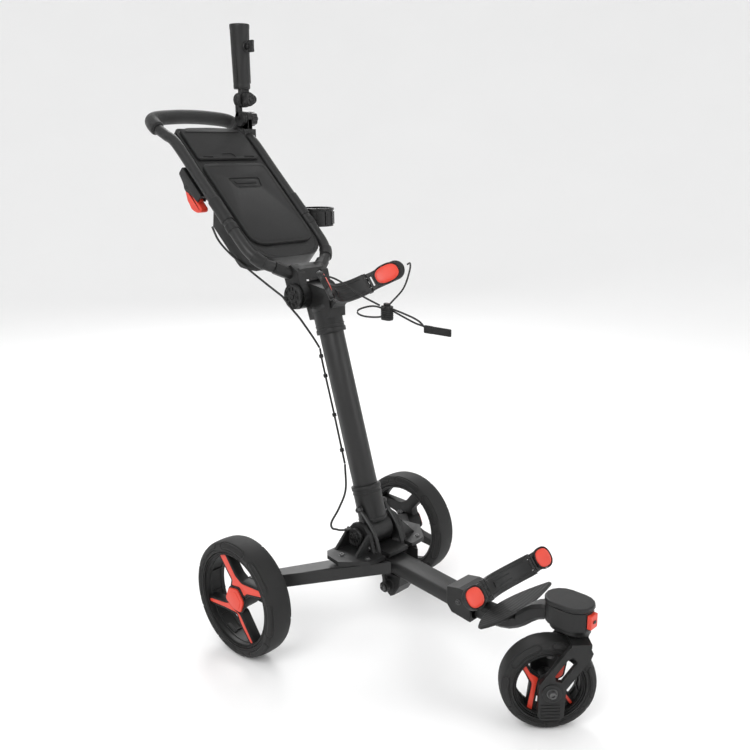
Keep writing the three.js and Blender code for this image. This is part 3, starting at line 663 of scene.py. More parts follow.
def tyre(side, place, u, size, body, count, long, phase):
    """The band itself: section spun about the axle, then sunk along its own normal."""
    radius, width, bead = size
    section = tyre_section(radius, width, bead)
    steps = int(radius * 4.6)
    angle = np.arange(steps) * 2 * np.pi / steps
    before, after = np.roll(section, 1, 0), np.roll(section, -1, 0)
    normal = unit(np.column_stack([(after - before)[:, 1], -(after - before)[:, 0]]))
    along = np.cumsum(np.r_[0, np.linalg.norm(np.diff(section, axis=0), axis=1)])
    middle = np.interp(0, section[:92, 1], along[:92])
    across = (along - middle)[None, :] + 0 * angle[:, None]
    turn = angle[:, None] + 0 * across
    shoulder = width * 0.5 + 1.5
    shoulders, phases = (shoulder, -shoulder), (phase, phase + 0.21)
    sunk = 1.7 * grooves(turn, across, radius - 4, count, long, 15.0, shoulders, phases)
    sunk = sunk * (np.arange(len(section)) < 92)[None, :]
    wave = 0.12 * np.sin(3 * turn + 1.3)
    r = section[None, :, 0] - (sunk + wave) * normal[None, :, 0]
    h = section[None, :, 1] - sunk * normal[None, :, 1]
    points = np.stack([r * np.cos(turn), r * np.sin(turn), h], axis=-1)
    shape = grid(points, around=True, caps=False, along=True)
    return make(f"foam_band_{side}", at(shape, place, u, (0, 0, 1)), body, TYRE, [f"tyre_{side}"])


REAR = 120.0, 56.0, 97.2
FRONT = 84.0, 48.0, 62.2
TRAIL = np.array([-math.sqrt(0.5), math.sqrt(0.5), 0.0])
WHEELS = {
    "right": ((-246, 0, 120), (0, -1, 0), REAR, "right_wheel"),
    "left": ((246, 0, 120), (0, 1, 0), REAR, "left_wheel"),
    "front": ((-35.355, -570.645, 84), tuple(-TRAIL), FRONT, "front_wheel"),
}
for side, (place, u, size, body) in WHEELS.items():
    count, long, phase = (6, 62.0, 1.15) if side == "front" else (8, 72.0, 1.53)
    piece = tyre(side, place, u, size, body, count, long, phase)
    print(piece.name, "triangles", 2 * len(piece.data.polygons))

# %% [markdown]
# ## Wheels and their red inlays
# The rim is a deep barrel with four flat arms that meet in pairs, so that two broad Vs cross the
# open wheel. Inside each V sits a red inlay, and a red hexagon caps the hub. Each arm is the inlay's
# own outline offset outwards and run into the barrel, so a black border of even width shows.

# %% Rims, inlays and caps
V_REAR = [
    [(-45.8, 80.6), (-29.7, 86.8), (0.6, 49.6), (19.9, 39.3), (81, 43), (81.8, 32.6), (33.7, 23),
     (26.6, 15), (14.3, 30.4), (-11.3, 26.6), (-7.9, 38.1)],
    [(-88.5, -31), (-83.4, -28.1), (-33.2, -20.8), (-24, -16.3), (-5.2, -26.9), (9.9, -30),
     (46.6, -77.7), (41.4, -81.2), (13.5, -49.5), (2.3, -29.3), (-18.3, -30), (-39.2, -30.8), (-85.1, -35.2)],
]
BAR_ANGLE = -1.98
HEXAGON = [(-15.8, 21.5), (9.9, 25.5), (28.8, 3.1), (19.1, -21.3), (-2.2, -20.5), (-27.8, -5.4)]
V_FRONT = [
    [(-50.8, 39.6), (-44.1, 41.9), (-31.1, 19.1), (-17.3, 10), (-20.3, -2.6), (-27.4, -54.6),
     (-35.9, -50.1), (-28.1, -2.4), (-29.4, 2.7)],
    [(29.3, 45.2), (24, 14), (14.1, 7.9), (9.4, 13.1), (21.6, 41.6)],
    [(25.2, -13.8), (44.4, -39.8), (41.2, -44.9), (24.3, -18.9)],
]


def rim_barrel(bead, half):
    """The barrel's wall as a closed ring: lips at both faces, shallow steps down the inside."""
    profile = [
        (bead - 0.4, half - 5.5), (bead - 0.6, half - 3.2), (bead - 1.6, half - 2.6),
        (bead - 2.6, half - 3.4), (bead - 2.9, half - 6.0), (bead - 3.8, half - 6.4),
        (bead - 4.3, half - 5.4), (bead - 5.4, half - 5.2),
        (bead - 5.8, half - 6.8), (bead - 4.6, half - 9.5), (bead - 4.8, half - 16), (bead - 6.4, half - 17),
        (bead - 6.4, half - 20), (bead - 5.0, half - 21), (bead - 5.6, -half + 15), (bead - 7.4, -half + 14),
        (bead - 7.4, -half + 7), (bead - 5.2, -half + 5), (bead - 2.0, -half + 4.2), (bead - 0.4, -half + 6),
    ]
    return turned(profile, 144, closed=True)


def edge_plate(outline, top, deep, ring):
    """A raised border round an outline: offset outwards by ring, as a closed wall."""
    outer, inner = inset(outline, -ring), inset(outline, -0.7)
    levels = [
        (outer, deep), (outer, top - 0.8), (inset(outer, 0.8), top), (inset(inner, -0.6), top),
        (inner, top - 0.6), (inner, deep),
    ]
    rows = [np.column_stack([line, np.full(len(line), height)]) for line, height in levels]
    return grid(np.array(rows), caps=False, along=True)


def within(outline, reach):
    """Pull points that lie beyond a radius back onto it."""
    r = np.linalg.norm(outline, axis=1, keepdims=True)
    return outline * np.minimum(1.0, reach / r)


def ray(outline, reach):
    """Stretch an outline's far points out to a radius, so that its arms run into the barrel."""
    r = np.linalg.norm(outline, axis=1, keepdims=True)
    far = np.clip((r / reach - 0.84) / 0.06, 0, 1)
    return outline * (1 + far * (reach / r - 1))


for side, (place, u, size, body) in WHEELS.items():
    radius, width, bead = size
    half = width / 2
    front = side == "front"
    face = 9.0 if front else 17.5
    hub = 17.0 if front else 25.0
    border = 3.4 if front else 5.0
    depth = 13.0 if front else 20.0
    outlines = [rounded(o, 3.5 if front else 4.5, 5) for o in (V_FRONT if front else V_REAR)]
    raw = V_FRONT if front else V_REAR
    wide = [ray(within(inset(np.array(o, float), -border), bead - 2.0), bead - 2.0) for o in raw]
    arms = [plate(rounded(o, 4.0, 5), face - depth, face - 0.5, 0.6) for o in wide]
    lips = [edge_plate(o, face + 1.3, face - 2.0, border - 1.8) for o in outlines]
    boss = turned([
        (6.3, -half + 4), (hub - 5, -half + 4), (hub - 3, -half + 5.5),
        (hub - 2, face - depth + 4), (hub + 1.5, face - 4), (hub + 1.2, face - 0.4),
        (hub - 0.4, face + 0.5), (6.3, face + 0.5),
    ], 64, closed=True)
    ribs = [
        at(plate(box_outline(2.4, half * 1.1, 1.0, 3), 0, 3.0, 0.8, 3),
           ((bead - 4.8) * math.cos(a), (bead - 4.8) * math.sin(a), -half * 0.25),
           (math.sin(a), -math.cos(a), 0), (0, 0, 1))
        for a in np.radians(np.arange(12, 372, 30))
    ]
    c, s = math.cos(BAR_ANGLE), math.sin(BAR_ANGLE)
    bar = plate(box_outline(16 if front else 26, 9, 2.5), -1.0, 3.2, 1.2)
    bar = at(bar, ((bead - 7) * c, (bead - 7) * s, 4), (-s, c, 0), (0, 0, 1))
    rim = at(joined(rim_barrel(bead, half), *arms, *lips, boss, *ribs, bar), place, u, (0, 0, 1))
    make(f"rim_{side}_moulding", rim, body, NYLON_DARK, [f"rim_{side}"])
    red = [plate(o, face - 3.0, face + 0.9, 0.7) for o in outlines]
    if not front:
        cap = rounded(HEXAGON, 6, 6)
        red.append(plate(cap, face + 1.4, face + 6.4, 1.8))
        red.append(plate(cap * 0.74, face + 6, face + 7.2, 0.8))
    make(f"rim_{side}_inlays", at(joined(*red), place, u, (0, 0, 1)), body, RED)
    if not front:
        gap = plate(inset(cap, -3.0), face - 1, face + 2.2, 0.8)
        make(f"rim_{side}_hub_seat", at(gap, place, u, (0, 0, 1)), body, NYLON_DARK)
    print("wheel", side, len(outlines), "inlays")

# %% [markdown]
# ## Handle: rails, sleeves and the foam grip
# Two tubes rise from the fold joint, part to the width of the console, and bend forward into one
# thick foam grip. Each is a circle carried along a smooth line, in the sloping frame of the rails.
# The grip's radius swells a little at its ends, where the foam is cut square and rolls outwards.

# %% Rails and grip
SLOPE = math.radians(43.4)
RAIL_ORIGIN = np.array([0, 66.0, 731.0])
ALONG = np.array([0, math.cos(SLOPE), math.sin(SLOPE)])
OUT = np.array([0, -math.sin(SLOPE), math.cos(SLOPE)])
ACROSS = (1, 0, 0)
RAIL_RADIUS = 11.4


def on_rails(x, along, out=0.0):
    """A point in the rails' frame: x across, along the slope, out of the lid."""
    return RAIL_ORIGIN + np.array([x, 0, 0]) + along * ALONG + out * OUT


def rail_line(sign, count=90):
    """One rail, right for sign -1 and left for 1: out to the console's width, up it, then forward."""
    slope = (66, 24), (86, 38), (100, 62), (105, 95), (105, 180), (105, 290)
    bend = (106, 344, 994), (108, 372, 1009), (110, 400, 1022.8)
    points = [on_rails(sign * x, a) for x, a in slope]
    points += [np.array([sign * x, y, z]) for x, y, z in bend]
    return curve_through(points, count)


def tube_with_ends(path, radius, reach, steps=24, count=60, flare=0.0):
    """A round tube whose ends close in a round of that reach; the radius flares towards both ends."""
    length = np.linalg.norm(np.diff(path, axis=0), axis=1).sum()
    places, sizes = soft_ends(count, reach, length)
    shrink = 1 - (1 - sizes) * reach / radius
    shrink[0] = shrink[-1] = 1 - reach / radius
    sizes = shrink * (1 + flare * np.exp(-((np.minimum(places, 1 - places) * length / 14) ** 2)))
    return carried(walk(path, places), circle(radius, steps), up=(0.05, -0.6, 0.8), size=sizes)


def sleeve(path, low, high, radius, grow=1.6):
    """A collar on a tube between two fractions of its length: one size up, with rounded ends."""
    part = walk(path, np.linspace(low, high, 24))
    return tube_with_ends(part, radius + grow, 1.4, 24, 20)


for sign, side in ((-1, "right"), (1, "left")):
    line = rail_line(sign)
    tube = tube_with_ends(line, RAIL_RADIUS, 1.2, 28, 80)
    make(f"rail_{side}_tube", tube, "handle", COAT, [f"rail_{side}"])
    spans = (0.27, 0.31, 1.5), (0.33, 0.47, 1.9), (0.05, 0.11, 2.2)
    bands = [sleeve(line, low, high, RAIL_RADIUS, grow) for low, high, grow in spans]
    make(f"rail_{side}_sleeves", joined(*bands), "handle", NYLON)

GRIP = [(111, 414, 1032), (106, 427, 1041), (88, 433, 1047), (40, 435, 1051), (0, 435.5, 1052)]
GRIP_END = (110, 401.2, 1023.8)
left_half = GRIP[::-1] + [GRIP_END]
right_half = [(-x, y, z) for x, y, z in left_half[:0:-1]]
grip_path = curve_through(np.array(right_half + left_half), 160)
foam = tube_with_ends(grip_path, 15.6, 3.2, 32, 120, 0.045)
grip = make("foam_grip_sleeve", foam, "handle", FOAM, ["foam_grip"])
print("grip length", round(np.linalg.norm(np.diff(grip_path, axis=0), axis=1).sum(), 1))

# %% [markdown]
# ## Console: box, lid and card cover
# Between the rails hangs a moulded box. A large lid with a sunk latch covers the deep part, and a
# smaller flap over it holds a score card. Each cover is an outline with generous corners; the latch
# recess is cut through the lid's top skin, which is a second thin layer on a plain backing.

# %% Console


def cut_plate(outline, holes, low, high, edge=0.8, steps=2):
    """A plate with openings: a filled flat curve, thickened and bevelled, read back as a shape."""
    curve = bpy.data.curves.new("cutter", "CURVE")
    curve.dimensions, curve.fill_mode = "2D", "BOTH"
    for ring in [outline, *holes]:
        spline = curve.splines.new("POLY")
        spline.points.add(len(ring) - 1)
        flat = np.column_stack([ring, np.zeros(len(ring)), np.ones(len(ring))])
        spline.points.foreach_set("co", flat.ravel())
        spline.use_cyclic_u = True
    curve.extrude = (high - low) / 2 - edge
    curve.bevel_depth, curve.bevel_resolution, curve.offset = edge, steps, -edge
    holder = bpy.data.objects.new("cutter", curve)
    bpy.context.scene.collection.objects.link(holder)
    mesh = bpy.data.meshes.new_from_object(holder.evaluated_get(bpy.context.evaluated_depsgraph_get()))
    points = np.empty(len(mesh.vertices) * 3)
    mesh.vertices.foreach_get("co", points)
    points = points.reshape(-1, 3) + [0, 0, (low + high) / 2]
    faces = [list(face.vertices) for face in mesh.polygons]
    bpy.data.objects.remove(holder)
    bpy.data.curves.remove(curve)
    bpy.data.meshes.remove(mesh)
    return points, faces


def cover_outline(half, bottom, top, bottom_corner, top_corner, steps=10):
    """A plan in the rails' frame with large lower corners and small upper ones."""
    corners = np.array([bottom_corner, bottom_corner, top_corner, top_corner], float)
    return rounded([(-half, bottom), (half, bottom), (half, top), (-half, top)], corners * 1.6, steps)


def box_corners(x, half, low, high, radius):
    """A rounded rectangle about x, from low to high along the slope."""
    corners = [(x - half, low), (x + half, low), (x + half, high), (x - half, high)]
    return rounded(corners, radius, 4)


def on_console(shape):
    return at(shape, RAIL_ORIGIN, ACROSS, ALONG)


lid_outline = cover_outline(85, 80, 312, 24, 12)
latch = rounded([(-42, 268), (42, 268), (34, 238), (-34, 238)], 8, 6)
lid = joined(
    plate(lid_outline, 3.0, 6.2, 1.0),
    cut_plate(inset(lid_outline, 0.9), [latch], 6.0, 8.0, 0.7),
    plate(inset(latch, 1.5), 5.8, 6.6, 0.3),
    plate(rounded([(-30, 262), (30, 262), (28, 252), (-28, 252)], 4, 5), 6.4, 8.4, 0.9),
    plate(rounded([(-26, 247), (26, 247), (24.5, 243), (-24.5, 243)], 2, 4), 6.4, 7.5, 0.5),
)
make("console_lid_skin", on_console(lid), "lid", LID_SKIN, ["console_lid"])
border = edge_plate(inset(lid_outline, 9.5), 8.45, 7.2, 1.6)
make("console_lid_bead", on_console(border), "lid", LID_SKIN)

card_outline = rounded([(-82, 326), (82, 326), (82, 415), (60, 422), (0, 424), (-60, 422), (-82, 415)], 9, 6)
scoop = rounded([(-20, 331), (20, 331), (14, 342), (-14, 342)], 5, 6)
slots = [box_corners(x, 13, 329, 333.5, 1.5) for x in (-55, 55)]
card = joined(
    plate(card_outline, 3.0, 6.4, 1.0),
    cut_plate(inset(card_outline, 0.9), [scoop, *slots], 6.2, 8.0, 0.7),
    plate(rounded([(-74, 407), (74, 407), (58, 416), (0, 418), (-58, 416)], 5, 6), 7.6, 9.6, 0.9),
)
make("card_cover_skin", on_console(card), "card_flap", LID_SKIN, ["card_cover"])

frame_outer = cover_outline(91, 46, 424, 46, 14)
rim_bead = edge_plate(inset(frame_outer, 2.2), 3.4, -3.0, 2.0)
hinge_plans = [
    rounded([(x - 14, 70), (x + 14, 70), (x + 11, 79), (x - 11, 79)], 2.5, 4) for x in (-47, 47)
]
hinges = [plate(plan, -2, 2.8, 1.2) for plan in hinge_plans]
bars = [plate(box_corners(x, 16, 314.5, 323.5, 2.5), -2, 2.8, 1.2) for x in (-52, 52)]
make("console_trim", on_console(joined(rim_bead, *hinges, *bars)), "handle", NYLON)
refined("console_box", NYLON, 3.0)
print("console covers", len(lid[0]), len(card[0]))

# %% [markdown]
# ## Brake lever and cup holder
# The parking brake is a red paddle under the right rail, pivoted in a black housing. The paddle is
# a side view with rounded edges and finger waves on its lower edge.

# %% Lever and cup


def rail_side_view(outline, x, thickness, edge=1.2):
    """An (along, out) outline of the rails' frame given a thickness across x."""
    return at(plate(outline, -thickness / 2, thickness / 2, edge), on_rails(x, 0), ALONG, OUT)


paddle = rounded([(297, -35), (291, -46), (279, -53), (270, -58), (259, -59), (250, -61.5), (240, -58),
                  (231, -53.5), (222, -42), (226, -35)], 6, 5)
neck = rounded([(286, -26), (295, -30), (294, -44), (240, -44), (244, -30)], 4, 4)
lever = joined(
    rail_side_view(neck, -105, 12), rail_side_view(paddle, -105, 19.6, 3.2),
    rail_side_view(inset(paddle, 5.0), -105, 20.4, 0.5),
)
make("brake_lever_paddle", lever, "lever", RED, ["brake_lever"])
cheek = rounded([(243, -13), (325, -13), (326, -32), (300, -38), (292, -44), (284, -44), (270, -37),
                 (243, -33)], 4, 4)
side_plates = [rail_side_view(cheek, -105 + s * 10.2, 2.6, 0.8) for s in (-1, 1)]
pin_profile = [(0.01, -12.2), (4.2, -12.2), (5.2, -11.4), (5.2, 11.4), (4.2, 12.2), (0.01, 12.2)]
pivot = at(turned(pin_profile, 24), on_rails(-105, 289, -36), ALONG, OUT)
make("brake_housing_cheeks", joined(*side_plates, pivot), "handle", NYLON)
refined("brake_housing", NYLON, 2.0)

CUP = np.array([160.0, 200.0, 829.0])


def stood_round(shape, radius, angle, height):
    """Stand a shape upright on a round wall: at (r cos a, r sin a), facing away from the middle."""
    c, s = math.cos(angle), math.sin(angle)
    return at(shape, (radius * c, radius * s, height), (-s, c, 0), (0, 0, 1))


lip_profile = [(38.2, 17), (39.8, 17.6), (40.2, 20.6), (39.4, 22.6), (36.4, 22.8), (35.4, 21)]
lip = turned(lip_profile, 72, closed=True)
cup_rib = plate(box_outline(1.6, 28, 0.6), 0, 2.2, 0.5)
cup_ribs = [stood_round(cup_rib, 38.2, a, 0) for a in np.radians([200, 230, 260, 290, 320, 350, 20, 50])]
make("cup_holder_trim", at(joined(lip, *cup_ribs), CUP, ACROSS, (0, 1, 0)), "handle", GLOSS)

# %% [markdown]
# ## Umbrella holder
# A slightly tapered sleeve stands on two pivots that cross at right angles. Each pivot is squeezed
# by a knob: the lower is a round cap, the upper a three-lobed grip with ridges. The lobes are a
# cosine added to the radius, and the ridges a finer one.

# %% Umbrella holder
UX, UY = 107.0, 382.0


def lobed(radius, lobes, depth, ridges, fine, low, high, edge, steps=144):
    """A knob: r = R + a cos(n t) + b cos(m t), carried up with rounded rims."""
    t = np.arange(steps) * 2 * np.pi / steps
    r = radius + depth * np.cos(lobes * t) + fine * np.cos(ridges * t)
    outline = np.column_stack([r * np.cos(t), r * np.sin(t)])
    ring = rim_steps(edge, 5)
    levels = [(i, low + h) for i, h in ring] + [(i, high - h) for i, h in ring[::-1]]
    rows = [np.column_stack([outline * (1 - i / radius), np.full(steps, level)]) for i, level in levels]
    return grid(np.array(rows))


def barrel(radius, low, high, edge=1.6, grooves_at=()):
    """A round boss with rounded rims and shallow turned lines."""
    ring = rim_steps(edge, 5)
    profile = [(0.01, low)] + [(radius - i, low + h) for i, h in ring]
    for g in grooves_at:
        profile += [(radius, g - 1.0), (radius - 0.9, g - 0.5), (radius - 0.9, g + 0.5), (radius, g + 1.0)]
    profile += [(radius - i, high - h) for i, h in ring[::-1]] + [(0.01, high)]
    return turned(profile, 64)


def about_x(shape, x, y, z):
    """Stand a turned shape's axis along +X."""
    return at(shape, (x, y, z), (0, 1, 0), (0, 0, 1))


def about_y(shape, x, y, z):
    """Stand a turned shape's axis along -Y, towards the front."""
    return at(shape, (x, y, z), (1, 0, 0), (0, 0, 1))


LOWER_PIVOT, UPPER_PIVOT, SCREW_Z = 1049, 1090, 1203
sleeve_profile = [
    (18.3, 1113.4), (18.9, 1116), (19.1, 1122), (18.7, 1124), (18.9, 1126), (19.9, 1160), (20.9, 1200),
    (21.8, 1240), (22.4, 1244), (22.6, 1250), (21.9, 1251.9), (17.2, 1251.9), (16.2, 1250.6),
    (15.6, 1246), (15.5, 1125), (0.01, 1125),
]
tube = turned([(0.01, 1113.4), *sleeve_profile], 72)
seam = plate(box_outline(2.2, 112, 1.0), 0, 1.3, 0.5)
seams = [stood_round(seam, 20.3, a, 1182) for a in np.radians([200, 340])]
boss = about_y(turned([(0.01, 18), (9.5, 18), (9.5, 22.5), (8.2, 24), (0.01, 24)], 32), 0, 0, SCREW_Z)
tube_parts = joined(tube, *seams, boss)
tube_parts = (tube_parts[0] + [UX, UY, 0], tube_parts[1])
knuckle = about_y(barrel(17, -6, 6, 1.6), UX, UY - 5.4, 1090)
web = at(plate(box_outline(24, 24, 4), -6, 6, 1.4), (UX, UY - 5.4, 1104), (1, 0, 0), (0, 0, 1))
make("umbrella_tube_sleeve", joined(tube_parts, knuckle, web), "umbrella_sleeve", NYLON, ["umbrella_tube"])

link = joined(
    about_x(barrel(16.5, -6, 6, 1.5, [0]), UX - 6, UY, 1049),
    about_y(barrel(17, -6, 6, 1.6, [0]), UX, UY + 7, 1090),
    at(plate(box_outline(12, 34, 3), -6, 6, 1.2), (UX - 6, UY + 7, 1068), (1, 0, 0), (0, 0, 1)),
)
make("umbrella_link_arm", link, "umbrella_swivel", NYLON, ["umbrella_link"])
clamp = joined(
    about_x(barrel(16.2, -6, 6, 1.5, [0]), UX + 7, UY, 1049),
    at(plate(box_outline(12, 34, 3), -11, 11, 1.2), (UX + 7, UY - 5, 1034), (1, 0, 0), (0, 0, 1)),
)
make("umbrella_clamp_ears", clamp, "handle", NYLON)
refined("umbrella_clamp", NYLON, 1.0)

knob_parts = barrel(4, -27, 12, 0.6), lobed(15.6, 8, 0.7, 32, 0.25, 1, 19, 2.6), barrel(9, 17, 20.4, 1.2)
knob = joined(*[about_x(part, UX + 13, UY, LOWER_PIVOT) for part in knob_parts])
make("lower_joint_knob_cap", knob, "lower_knob", GLOSS, ["lower_joint_knob"])
knob = joined(
    about_y(barrel(4, -16, 24, 0.6), UX, UY - 4, UPPER_PIVOT),
    about_y(lobed(14.6, 3, 1.7, 36, 0.35, 12, 33.4, 3.0), UX, UY, UPPER_PIVOT),
    about_y(barrel(7.5, 32, 35, 1.2), UX, UY, UPPER_PIVOT),
)
make("upper_joint_knob_cap", knob, "upper_knob", GLOSS, ["upper_joint_knob"])
thumb_wing = rounded([(-4.2, -13), (4.2, -13), (3.2, -5), (3.4, 5), (4.2, 13), (-4.2, 13), (-3.4, 5),
                      (-3.2, -5)], 3.0, 4)
screw_parts = barrel(4, 13, 43, 0.6), plate(thumb_wing, 30, 46, 1.6), barrel(6.4, 26, 36, 1.2)
screw = joined(*[about_y(part, UX, UY, SCREW_Z) for part in screw_parts])
make("tube_screw_wing", screw, "sleeve_screw", GLOSS, ["tube_screw"])
print("umbrella holder made")

# %% [markdown]
# ## Brackets that hold the bag
# Each bracket is a bowed band with a padded wing hinged at either end. The wings are flat mouldings
# with a round tip, a slot beside the hinge and a raised rim round a red rubber pad. The pads are
# low domes: the outline shrinks by a cosine while it rises by a sine.

# %% Bands, wings and pads
LEAN = math.radians(36.7)
AWAY = np.array([0, math.cos(LEAN), -math.sin(LEAN)])
BAG_UP = np.array([0, math.sin(LEAN), math.cos(LEAN)])
BARREL_PROFILE = [
    (0.01, -10.5), (4.7, -10), (4.7, -3.6), (3.9, -3.2), (3.9, 3.2), (4.7, 3.6), (4.7, 10), (0.01, 10.5),
]
BRACKETS = {
    "upper": ((0, -60, 714.5), 50, 24, 42, 82, 44.4, (44.0, 23.5, 16.5)),
    "lower": ((0, -460.6, 226.5), 64, 24, 40, 60, 0.0, (36.0, 19.5, 16.0)),
}


def dome(outline, low, high, steps=9, square=0.75):
    """A low crown over an outline: scale cos(t)^s about its middle, height sin(t)."""
    t = np.linspace(0, np.pi / 2, steps)[:-1]
    middle = outline.mean(axis=0)
    rows = [np.column_stack([outline, np.full(len(outline), low - 2.5)])]
    for a in t:
        level = np.full(len(outline), low + (high - low) * math.sin(a))
        rows.append(np.column_stack([middle + (outline - middle) * math.cos(a) ** square, level]))
    return grid(np.array(rows))


def oval(width, height, power=2.5, steps=48):
    """A superellipse |x/a|^n + |y/b|^n = 1."""
    t = np.arange(steps) * 2 * np.pi / steps
    c, s = np.cos(t), np.sin(t)
    e = 2 / power
    return np.column_stack([width * np.sign(c) * np.abs(c) ** e, height * np.sign(s) * np.abs(s) ** e])


def wing_outline(length, half, root):
    """A straight root, slightly waisted sides and a round tip."""
    t = np.linspace(-np.pi / 2, np.pi / 2, 17)
    tip = np.column_stack([length - half + half * np.cos(t), half * np.sin(t)])
    side = [(4.6, -root), (16, -root + 0.6)]
    return np.vstack([side, tip, [(16, root - 0.6), (4.6, root)]])


for level, (place, half_width, depth, height, reach, splay, pad) in BRACKETS.items():
    t = np.linspace(-1, 1, 41)
    bow = np.array(place) + np.outer(half_width * t, (1, 0, 0)) + np.outer(depth * (1 - t * t), AWAY)
    section = box_outline(7.2, height, 2.6, 5)
    ridge = box_outline(9.4, 3.0, 1.4, 4)
    band = [carried(bow, section, BAG_UP)]
    band += [carried(bow[2:-2], ridge + [0, s * (height / 2 - 7)], BAG_UP) for s in (-1, 1)]
    band.append(carried(bow[12:-12], box_outline(10.2, 12, 2.5, 4), BAG_UP))
    turn = math.radians(splay)
    for sign in (-1, 1):
        hinge = np.array(place) + sign * (half_width + 5) * np.array([1.0, 0, 0])
        spans = (-height / 2, -height / 2 + 9), (height / 2 - 9, height / 2)
        ears = [turned([(0.01, a), (4.9, a + 0.4), (4.9, b - 0.4), (0.01, b)], 24) for a, b in spans]
        band.append(at(joined(*ears), hinge, (1, 0, 0), AWAY))
    make(f"{level}_bag_band_bow", joined(*band), "upright" if level == "upper" else "chassis", NYLON)
    refined(f"{level}_bag_band", NYLON, 2.0)
    for sign, side in ((-1, "right"), (1, "left")):
        body = f"{level}_wing_{side}"
        outward = sign * math.cos(turn) * np.array([1.0, 0, 0]) - math.sin(turn) * AWAY
        hinge = np.array(place) + sign * (half_width + 5) * np.array([1.0, 0, 0])
        flip = np.array([sign, 1.0])
        root = height / 2 - 1
        outline = wing_outline(reach, root, root - 1)
        slot = rounded([(10, -11), (13.4, -11), (13.4, 11), (10, 11)], 1.6, 4)
        rib = rounded([(16, -root + 4), (20, -root + 4), (20, root - 4), (16, root - 4)], 1.5, 4)
        pad_at, pad_a, pad_b = pad
        seat = oval(pad_a + 2.2, pad_b + 2.2) + [pad_at, 0]
        shapes = [
            cut_plate(outline * flip, [slot * flip], -4.2, 4.2, 1.6, 3),
            edge_plate(seat * flip, 6.6, 3.0, 2.4),
            plate(rib * flip, 3.5, 5.3, 0.8),
        ]
        barrels = at(turned(BARREL_PROFILE, 24), hinge, (1, 0, 0), AWAY)
        u = sign * outward
        flat = at(joined(*shapes), hinge, u, BAG_UP)
        make(f"{level}_wing_{side}_plate", joined(flat, barrels), body, NYLON, [f"{level}_bag_wing_{side}"])
        crown = (oval(pad_a, pad_b) + [pad_at, 0]) * flip
        skirt = (inset(oval(pad_a, pad_b), -0.9) + [pad_at, 0]) * flip
        rubber = joined(dome(crown, 6.0, 8.6), plate(skirt, 3.4, 6.3, 0.6))
        make(f"{level}_pad_{side}", at(rubber, hinge, u, BAG_UP), body, RED)
    print(level, "bracket made")

# %% [markdown]
# ## Cord lock and pull tab
# The lock is a ribbed barrel with a push button; the tab is a folded strap with two stitched rows.
# Stitches are separate small rounded threads, so they catch the light as real ones do.

# %% Cord lock, loop and tab
lock_at = np.array([0.0, -165.0, 676.0])
lock = [plate(oval(8.0, 12.0, 3.2), -15, 13, 2.0)]
lock += [edge_plate(oval(7.6, 11.6, 3.2), h + 1.6, h, 1.0) for h in (-11, -7, -3, 1, 5)]
lock += [plate(oval(5.2, 7.5, 2.4), 12, 18, 1.8), plate(box_outline(18.5, 7, 2), 7, 11, 1.2)]
make("cord_lock_barrel", at(joined(*lock), lock_at, (1, 0, 0), (0, 1, 0)), "upright", NYLON, ["cord_lock"])

TAB_Z = 656
strip = at(plate(box_outline(60, 14, 2.5), -1.5, 1.5, 0.8), (0, -291, TAB_Z), (0, 1, 0), (0, 0, 1))
fold = at(plate(box_outline(20, 14.6, 2.5), -2.2, 2.2, 0.9), (0, -268, TAB_Z), (0, 1, 0), (0, 0, 1))
strap = make("pull_tab_strap", joined(strip, fold), "upright", STRAP, ["pull_tab"])
thread = plate(box_outline(2.6, 0.7, 0.3, 3), 0, 0.5, 0.2, 3)
ROWS = (1.55, 5.2, np.arange(-318, -280, 4.2)), (2.25, 4.4, (-275, -271, -267, -263))
stitches = [
    at(thread, (s * out, y, TAB_Z + dz), (0, s, 0), (0, 0, 1))
    for out, spread, places in ROWS for s in (-1, 1) for dz in (-spread, spread) for y in places
]
stitching = make("pull_tab_stitches", joined(*stitches), "upright", SHEATH, merge=1e-7)

SLACK = {
    "elastic_slack": [
        [-7, -166, 684], [-26, -152, 690], [-48, -140, 686], [-53, -138, 679], [-42, -144, 672],
        [-24, -156, 669], [-7, -164, 669],
    ],
    "elastic_second_pull": [
        [4, -177, 679], [5, -205, 670], [4, -232, 663], [2, -250, 661], [1.5, -258, 660],
    ],
}
for name, points in SLACK.items():
    piece, path, length = cord_tube(f"{name}_cord", points, 1.8, "upright", CORD, [], 32)
    cords[name] = piece, path, length
    print(name, "length", round(length, 4))

for piece in (strap, stitching, cords["elastic_pull"][0], cords["elastic_second_pull"][0]):
    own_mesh(piece)

# %% [markdown]
# ## Brake cable
# One thin sheathed cable runs from the lever down the post to the hub. It is held at its clips. The stretches
# between clips ride on their body; the two that cross a joint are left on no body, so they stay where they
# are laid.

# %% Brake cable
CABLE = {
    "brake_cable_handle": ([
        [-105, 232, 824], [-104, 215, 798], [-100, 187, 774], [-90, 150, 748], [-76, 105, 717],
        [-62, 66, 690],
    ], "handle", None),
    "brake_cable_joint": ([
        [-61.8, 65.4, 689.4], [-56, 48, 668], [-44, 38, 648], [-32, 32, 628], [-24, 17, 604],
        [-17.2, 7.8, 585],
    ], "handle", "upright"),
    "brake_cable_post": ([[-17, 7, 584], [-15, 2, 553], [-14, -28, 450], [-15, -58, 350]], "upright", None),
    "brake_cable_foot": ([
        [-15.2, -58.4, 349], [-24, -68, 298], [-42, -66, 262], [-60, -62, 236], [-66, -70, 227],
        [-66, -82, 228],
    ], "upright", "chassis"),
}
cable_length = 0.0
for node, (points, first, second) in CABLE.items():
    path = curve_through(points, 44)
    cable_length += np.linalg.norm(np.diff(path, axis=0), axis=1).sum()
    tube = carried(path, circle(2.2, 14), (0.7, 0.1, 0.2))
    piece = make(f"{node}_sheath", tube, None if second else first, SHEATH, [node])
    if second:
        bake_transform(piece)
